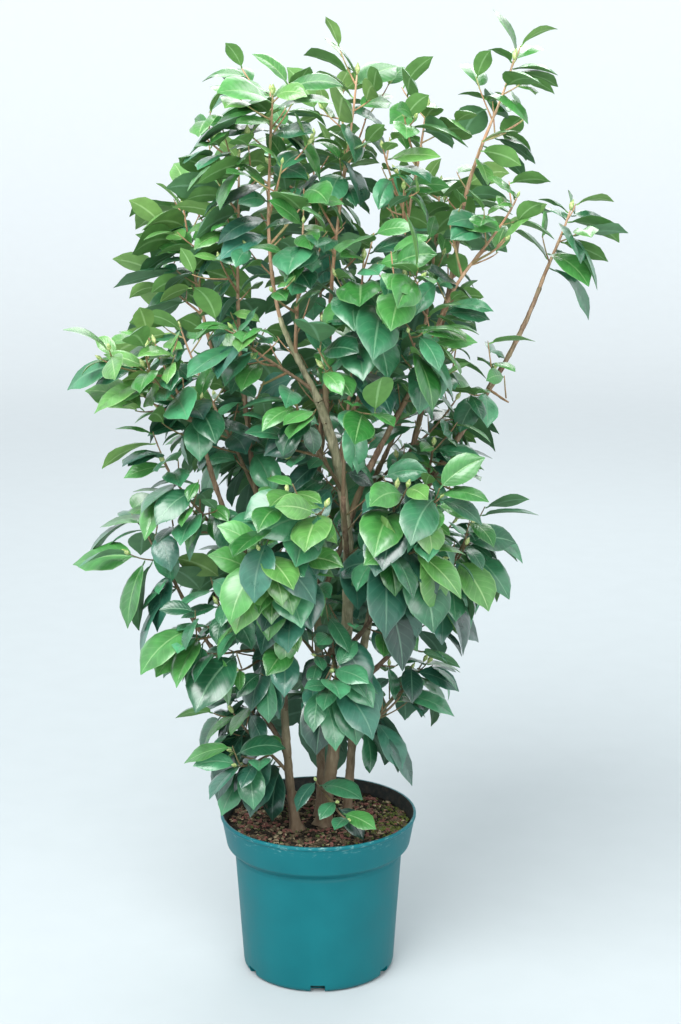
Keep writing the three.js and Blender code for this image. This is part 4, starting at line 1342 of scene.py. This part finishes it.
class CAMELLIA_OT_limbs(bpy.types.Operator):
    """Clothes the trunk, stems and boughs in bark"""

    bl_idname = "camellia.limbs"
    bl_label = "Trunk and boughs"

    def execute(self, context):
        relief = context.scene.camellia.plant.bark_relief / MM
        old = bark_material(
            "olive_grey_bark", "75735a", "c2bb9a", "868767", 0.8, ("5e4638", 0.2, 0.46, 0.8)
        )
        young = bark_material(
            "red_brown_bark", "5c4738", "99816a", "7d7456", 0.75, ("4f4335", 0.3, 0.6, 0.65)
        )
        limbs = crown().limbs
        # The trunk's line runs on into the centre left bough, in one grey bark.
        stems = [*STEMS, "bough_centre_left"]
        boughs = [name for name in limbs if name not in stems]
        for piece, names, material in (("stems_bark", stems, old), ("boughs_bark", boughs, young)):
            parts = [bark_tube(limbs[name], 100 + list(limbs).index(name), relief) for name in names]
            make_piece(piece, merged(parts), [material], names, sharp=70)
        return {"FINISHED"}


def carries_to(shoot, axis):
    """The furthest place on an axis that carries a leaf or a leafy twig: 0 where nothing does."""
    leaves = [leaf["place"] for leaf in axis["leaves"]]
    children = [a for a in shoot["axes"][1:] + shoot["spurs"] if a["parent"] is axis]
    twigs = [a["place"] for a in children if carries_to(shoot, a) > 0]
    furthest = max(leaves + twigs, default=0)
    return min(1, furthest + 4 / arc_length(axis["curve"])) if furthest else 0


def twig_tube(axis, end, around, seed):
    """A twig up to one place: even taper, swollen at knots about every 14 mm, with a rounded tip."""
    curve = axis["curve"]
    length = arc_length(curve)
    t = np.linspace(0, end, max(6, int(length * end / 5)))
    phase = np.random.default_rng(seed).uniform(0, TURN)

    def radius(t, angle):
        s = t * length
        knots = np.maximum(0, np.sin(s * TURN / 14 + phase)) ** 6
        made = lerp(*axis["radii"], t) * (1 + 0.22 * knots + 0.06 * np.sin(3 * angle + 0.3 * s))
        return made * np.where(t >= end, 0.7, 1)

    rings = tube_rings(curve, t, radius, around)
    return closed_shells(rings, rings[:, 0].mean(1), rings[:, -1].mean(1) + tangent(curve, end) * 0.8)


class CAMELLIA_OT_twigs(bpy.types.Operator):
    """Grows the leading twigs, side twigs and spurs of every shoot"""

    bl_idname = "camellia.twigs"
    bl_label = "Twigs"

    def execute(self, context):
        nodes = list(SHOOTS)
        shoots = crown().shoots
        # Low in the crown both twig barks darken to olive grey: partly older bark, partly painted shade
        # for the twigs inside the crown.
        older = bark_material(
            "twig_bark", "a07a60", "d6b696", "b88a68", 0.7, ("5c543f", 0.55, 0.88, 0.85)
        )
        younger = bark_material(
            "young_shoot_bark", "a0745a", "c8a27e", "93a062", 0.55, ("565238", 0.5, 0.9, 0.8)
        )
        leading = [(s, s["axes"][0]) for s in shoots]
        rest = [(s, axis) for s in shoots for axis in s["axes"][1:] + s["spurs"]]
        leading, rest = (
            [
                twig_tube(axis, carries_to(shoot, axis), around, seed + i)
                for i, (shoot, axis) in enumerate(twigs)
                if carries_to(shoot, axis) > 0
            ]
            for twigs, around, seed in ((leading, 9, 0), (rest, 6, 40))
        )
        for name, parts, material in (
            ("leading_twigs", leading, older), ("side_twigs", rest, younger)
        ):
            make_piece(name, merged(parts), [material], nodes, sharp=70)
        return {"FINISHED"}


# ---------------------------------------------------------------- leaves

SPUR_BUDS = 0.15  # share of the spurs that end in a bud
STALK = 0.1  # share of a leaf's length that is its stalk
STALK_RADIUS = 0.75
LEAF_ROWS = np.array([0.04, STALK, 0.14, 0.21, 0.32, 0.46, 0.6, 0.73, 0.84, 0.92, 0.97])
# Round a leaf: over it from its left margin to its right, then back under it by its midrib.
RING_SIDES = np.array([1.0, 0.5, 0.0, -0.5, -1.0, 0.0])
UNDER = np.array([0, 0, 0, 0, 0, 1])


def blade_half_width(share):
    """s^0.72 (1-s)^0.78 over its greatest value, halved smoothly over the last part for a drip tip."""
    s = np.clip((share - STALK) / (1 - STALK), 0, 1)
    widest = 0.72 / (0.72 + 0.78)
    ellipse = s**0.72 * (1 - s) ** 0.78 / (widest**0.72 * (1 - widest) ** 0.78)
    return ellipse * (1 - 0.5 * smoothstep(0.72, 0.97, s))


def leaf_shells(leaves, thickness, random):
    """
    All leaves as closed shells of six-sided rings. The midrib is the lowest line of the blade; the
    halves rise from it, arch over and turn down a little at the margin, which waves, and the whole
    blade twists towards its tip.
    """
    keys = ("heading", "pitch", "droop", "roll", "length", "width")
    stacked = {k: np.array([leaf[k] for leaf in leaves])[:, None, None] for k in keys}
    stacked["root"] = np.array([leaf["root"] for leaf in leaves])[:, None, None]
    count = len(leaves)

    def draw(low, high):
        return random.uniform(low, high, (count, 1, 1))

    share, side = LEAF_ROWS[None, :, None], RING_SIDES[None, None]
    half = 0.5 * stacked["width"] * blade_half_width(share)
    half = np.maximum(half, STALK_RADIUS * (1 - smoothstep(0.85, 1, share)))
    offset = side * half
    blade = smoothstep(STALK, 0.3, share)
    fold = LEAF_FOLD * draw(0.2, 1.7) * np.abs(offset)
    arch = draw(0.1, 0.24) * half * np.sin(math.pi * np.minimum(np.abs(side) * 1.12, 1.12)) * blade
    wave = draw(0.0, 0.09) * half * np.sin(TURN * draw(1.2, 2.4) * share + side * 2 + draw(0, TURN))
    wave = wave * blade * side**2
    depth = thickness * np.where(share < STALK + 0.01, 1.6, lerp(1.1, 0.35, share))
    lift = fold + arch + wave - depth * UNDER
    twist = draw(-0.45, 0.45) * share
    rings = leaf_points(stacked, share + 0 * side, offset, lift, stacked["roll"] + twist)
    root = np.array([leaf["root"] for leaf in leaves])
    tip = leaf_points(
        stacked, np.ones((1, 1, 1)), np.zeros((1, 1, 1)), np.zeros((1, 1, 1)), stacked["roll"]
    )[:, 0, 0]
    return closed_shells(rings, root, tip)


def kind_of(leaf, random):
    """Which kind a leaf is, from its age and from painted shade: 0 flushing, 1 fresh, 2 mature, 3 old.
    Leaves deep inside the crown count as older, so darker, as painted shade.
    """
    x, y, z = leaf["root"]
    height = np.clip((z - 280) / 640, 0, 1)
    # Painted shade: leaves near the trunk and under the top of the crown count as older, so they take
    # darker colours.
    depth = np.clip(1 - math.hypot(x, y) / 140, 0, 1) * np.clip((980 - z) / 200, 0, 1)
    age_and_shade = 0.12 + 0.07 * leaf["order"] + 0.44 * (1 - height) + 0.3 * depth + random.normal(0, 0.1)
    if leaf["order"] <= 2 and random.uniform() < 0.7 * leaf["flush"]:
        age_and_shade -= 0.36
    return int(np.digitize(age_and_shade, [0.12, 0.38, 0.68]))


# The darker mature and old kinds also stand as painted shade for leaves deep inside the crown.
# name, darkest and lightest colour, midrib and margin, underside, roughness
LEAF_KINDS = [
    ("leaves_flushing", "3b7835", "61964b", "afd090", "80a85e", 0.36),
    ("leaves_fresh", "266629", "52944b", "90b97c", "64924e", 0.34),
    ("leaves_mature", "164c30", "4a9265", "7ba682", "5b885c", 0.32),
    ("leaves_old", "0b3326", "3b7a63", "70987f", "527a62", 0.31),
]


class CAMELLIA_OT_leaves(bpy.types.Operator):
    """Grows every leaf, each kind by age, and deep in the crown by painted shade, as a piece of its own
    """

    bl_idname = "camellia.leaves"
    bl_label = "Leaves"

    def execute(self, context):
        thickness = context.scene.camellia.plant.leaf_thickness / MM
        random = np.random.default_rng(23)
        axes = [a for s in crown().shoots for a in s["axes"] + s["spurs"]]
        leaves = [leaf for axis in axes for leaf in axis["leaves"]]
        kinds = np.array([kind_of(leaf, random) for leaf in leaves])
        for number, (name, dark, light, rib, under, roughness) in enumerate(LEAF_KINDS):
            chosen = [leaf for leaf, kind in zip(leaves, kinds) if kind == number]
            shell = leaf_shells(chosen, thickness, random)
            rows, around = len(LEAF_ROWS), len(RING_SIDES)
            below = np.tile((RING_SIDES == -1) | (UNDER == 1), len(chosen) * (rows + 1))
            chart = np.stack(np.broadcast_arrays((RING_SIDES + 1) / 2, LEAF_ROWS[:, None]), -1)
            chart = np.concatenate([chart.reshape(-1, 2), [[0.5, 0], [0.5, 1]]])
            tint = np.repeat(np.clip(random.normal(0.5, 0.3, len(chosen)), 0, 1), rows * around + 2)
            make_piece(
                name, shell,
                [
                    leaf_material(name + "_waxy_face", dark, light, rib, roughness),
                    underside_material(name + "_matt_underside", under, rib),
                ],
                list(SHOOTS), tint=tint, uv=np.tile(chart, (len(chosen), 1)),
                slots=below, sharp=60,
            )
        return {"FINISHED"}


class CAMELLIA_OT_buds(bpy.types.Operator):
    """Sets a pointed bud at the tip of every twig that is whole, and of a few spurs"""

    bl_idname = "camellia.buds"
    bl_label = "Buds"

    def execute(self, context):
        bud = context.scene.camellia.plant.bud_length / MM
        random = np.random.default_rng(31)
        twigs = [(s, a) for s in crown().shoots for a in s["axes"] + s["spurs"]]
        whole = [a for s, a in twigs if carries_to(s, a) == 1]
        axes = [a for a in whole if "is_spur" not in a or random.uniform() < SPUR_BUDS]
        tips = np.array([a["curve"][3] for a in axes])
        ways = np.array([tangent(a["curve"], 1.0) for a in axes])
        across, over = square_to(ways)
        sizes = bud * random.uniform(0.6, 1.15, len(axes))
        share = np.linspace(0.05, 0.94, 7)
        angle = TURN * np.arange(8) / 8
        # Plump below and pointed above, with four scales that wind round it.
        plump = 0.2 * np.sin(math.pi * share**0.75) ** 0.8
        scales = 1 + 0.14 * np.sin(2 * angle + 9 * share[:, None])
        radius = sizes[:, None, None] * plump[:, None] * scales
        out = turned(over[:, None, None], across[:, None, None], angle[:, None])
        rings = tips[:, None, None] + ways[:, None, None] * (sizes[:, None] * share)[..., None, None]
        rings = rings + out * radius[..., None]
        shell = closed_shells(rings, tips, tips + ways * sizes[:, None])
        make_piece("buds", shell, [bud_material()], list(SHOOTS), sharp=60)
        return {"FINISHED"}


# ---------------------------------------------------------------- stage


SWEEP_SIDES = 96
LIGHTS_AIM_AT = (0, 0, 0.5)


class CAMELLIA_OT_stage(bpy.types.Operator):
    """Lays the pale floor, hangs the soft lights and stands the camera"""

    bl_idname = "camellia.stage"
    bl_label = "Stage"

    def execute(self, context):
        look = context.scene.camellia.stage
        # A round sweep: level to 5 m out, then a quarter circle up to a wall.
        bend = np.linspace(0, math.pi / 2, 16)
        outline = np.concatenate([
            [[0, 0], [0.5, 0], [2, 0]],
            np.column_stack([5 + 2.5 * np.sin(bend), 2.5 * (1 - np.cos(bend))]),
            [[7.5, 7]],
        ])
        angle = TURN * np.arange(SWEEP_SIDES) / SWEEP_SIDES
        rings = np.stack([
            outline[:, :1] * np.cos(angle), outline[:, :1] * np.sin(angle), outline[:, 1:] + 0 * angle
        ], -1)
        row, column = np.mgrid[0 : len(outline) - 1, 0:SWEEP_SIDES]
        here = row * SWEEP_SIDES + column
        beside = row * SWEEP_SIDES + (column + 1) % SWEEP_SIDES
        quads = np.stack([here, here + SWEEP_SIDES, beside + SWEEP_SIDES, beside], -1).reshape(-1, 4)
        mesh = bpy.data.meshes.new("studio_sweep")
        mesh.from_pydata(rings.reshape(-1, 3).tolist(), [], quads.tolist())
        mesh.polygons.foreach_set("use_smooth", np.ones(len(quads), dtype=bool))
        mesh.materials.append(floor_material(look))
        sweep = bpy.data.objects.new("studio_sweep", mesh)
        context.scene.collection.objects.link(sweep)
        for name, power, size, place in (
            ("key", look.key_power, 2.4, (-0.95, -1.8, 2.7)),
            ("fill", look.fill_power, 2.4, (1.3, -2.9, 1.5)),
            ("rim", look.rim_power, 2.6, (0.4, 2.0, 2.9)),
        ):
            light = bpy.data.lights.new(name, "AREA")
            light.shape = "DISK"
            light.size = size
            light.energy = power
            lamp = bpy.data.objects.new(name, light)
            lamp.location = place
            towards = np.array(LIGHTS_AIM_AT) - place
            lamp.rotation_euler = (
                math.atan2(math.hypot(towards[0], towards[1]), -towards[2]),
                0,
                math.atan2(towards[1], towards[0]) - math.pi / 2,
            )
            lamp.visible_camera = False
            context.scene.collection.objects.link(lamp)
        world = bpy.data.worlds.new("even_sky")
        context.scene.world = world
        world.use_nodes = True
        sky = world.node_tree.nodes["Background"]
        sky.inputs["Color"].default_value = rgba("e6f1fb")
        sky.inputs["Strength"].default_value = look.sky_strength
        context.scene.view_settings.view_transform = "Standard"
        camera = bpy.data.objects.new("camera", bpy.data.cameras.new("camera"))
        camera.data.lens = look.lens
        camera.data.sensor_width = 36
        camera.location = EYE * MM
        camera.rotation_euler = (math.pi / 2 - LOOKING_DOWN, 0, 0)
        context.scene.collection.objects.link(camera)
        context.scene.camera = camera
        return {"FINISHED"}


OPERATORS = (
    CAMELLIA_OT_stage, CAMELLIA_OT_pot, CAMELLIA_OT_compost, CAMELLIA_OT_chips,
    CAMELLIA_OT_limbs, CAMELLIA_OT_twigs, CAMELLIA_OT_leaves, CAMELLIA_OT_buds,
)


class CAMELLIA_PT_shrub(bpy.types.Panel):
    """Settings and build buttons for the shrub"""

    bl_idname = "CAMELLIA_PT_shrub"
    bl_label = "Camellia shrub"
    bl_space_type = "VIEW_3D"
    bl_region_type = "UI"
    bl_category = "Camellia"

    def draw(self, context):
        settings = context.scene.camellia
        for group in (settings.stage, settings.pot, settings.compost, settings.plant):
            for key in group.__annotations__:
                self.layout.prop(group, key)
        for operator in OPERATORS:
            self.layout.operator(operator.bl_idname)


CLASSES = (
    CamelliaPotSettings, CamelliaCompostSettings, CamelliaPlantSettings, CamelliaStageSettings,
    CamelliaSettings, *OPERATORS, CAMELLIA_PT_shrub,
)


def register():
    """Registers the classes and hangs the settings on the scene."""
    for cls in CLASSES:
        bpy.utils.register_class(cls)
    bpy.types.Scene.camellia = PointerProperty(type=CamelliaSettings)


def unregister():
    """Takes the settings off the scene and the classes out again."""
    del bpy.types.Scene.camellia
    for cls in reversed(CLASSES):
        bpy.utils.unregister_class(cls)


def main():
    """Builds the whole scene."""
    register()
    for operator in OPERATORS:
        group, action = operator.bl_idname.split(".")
        getattr(getattr(bpy.ops, group), action)()


if __name__ == "__main__":
    main()
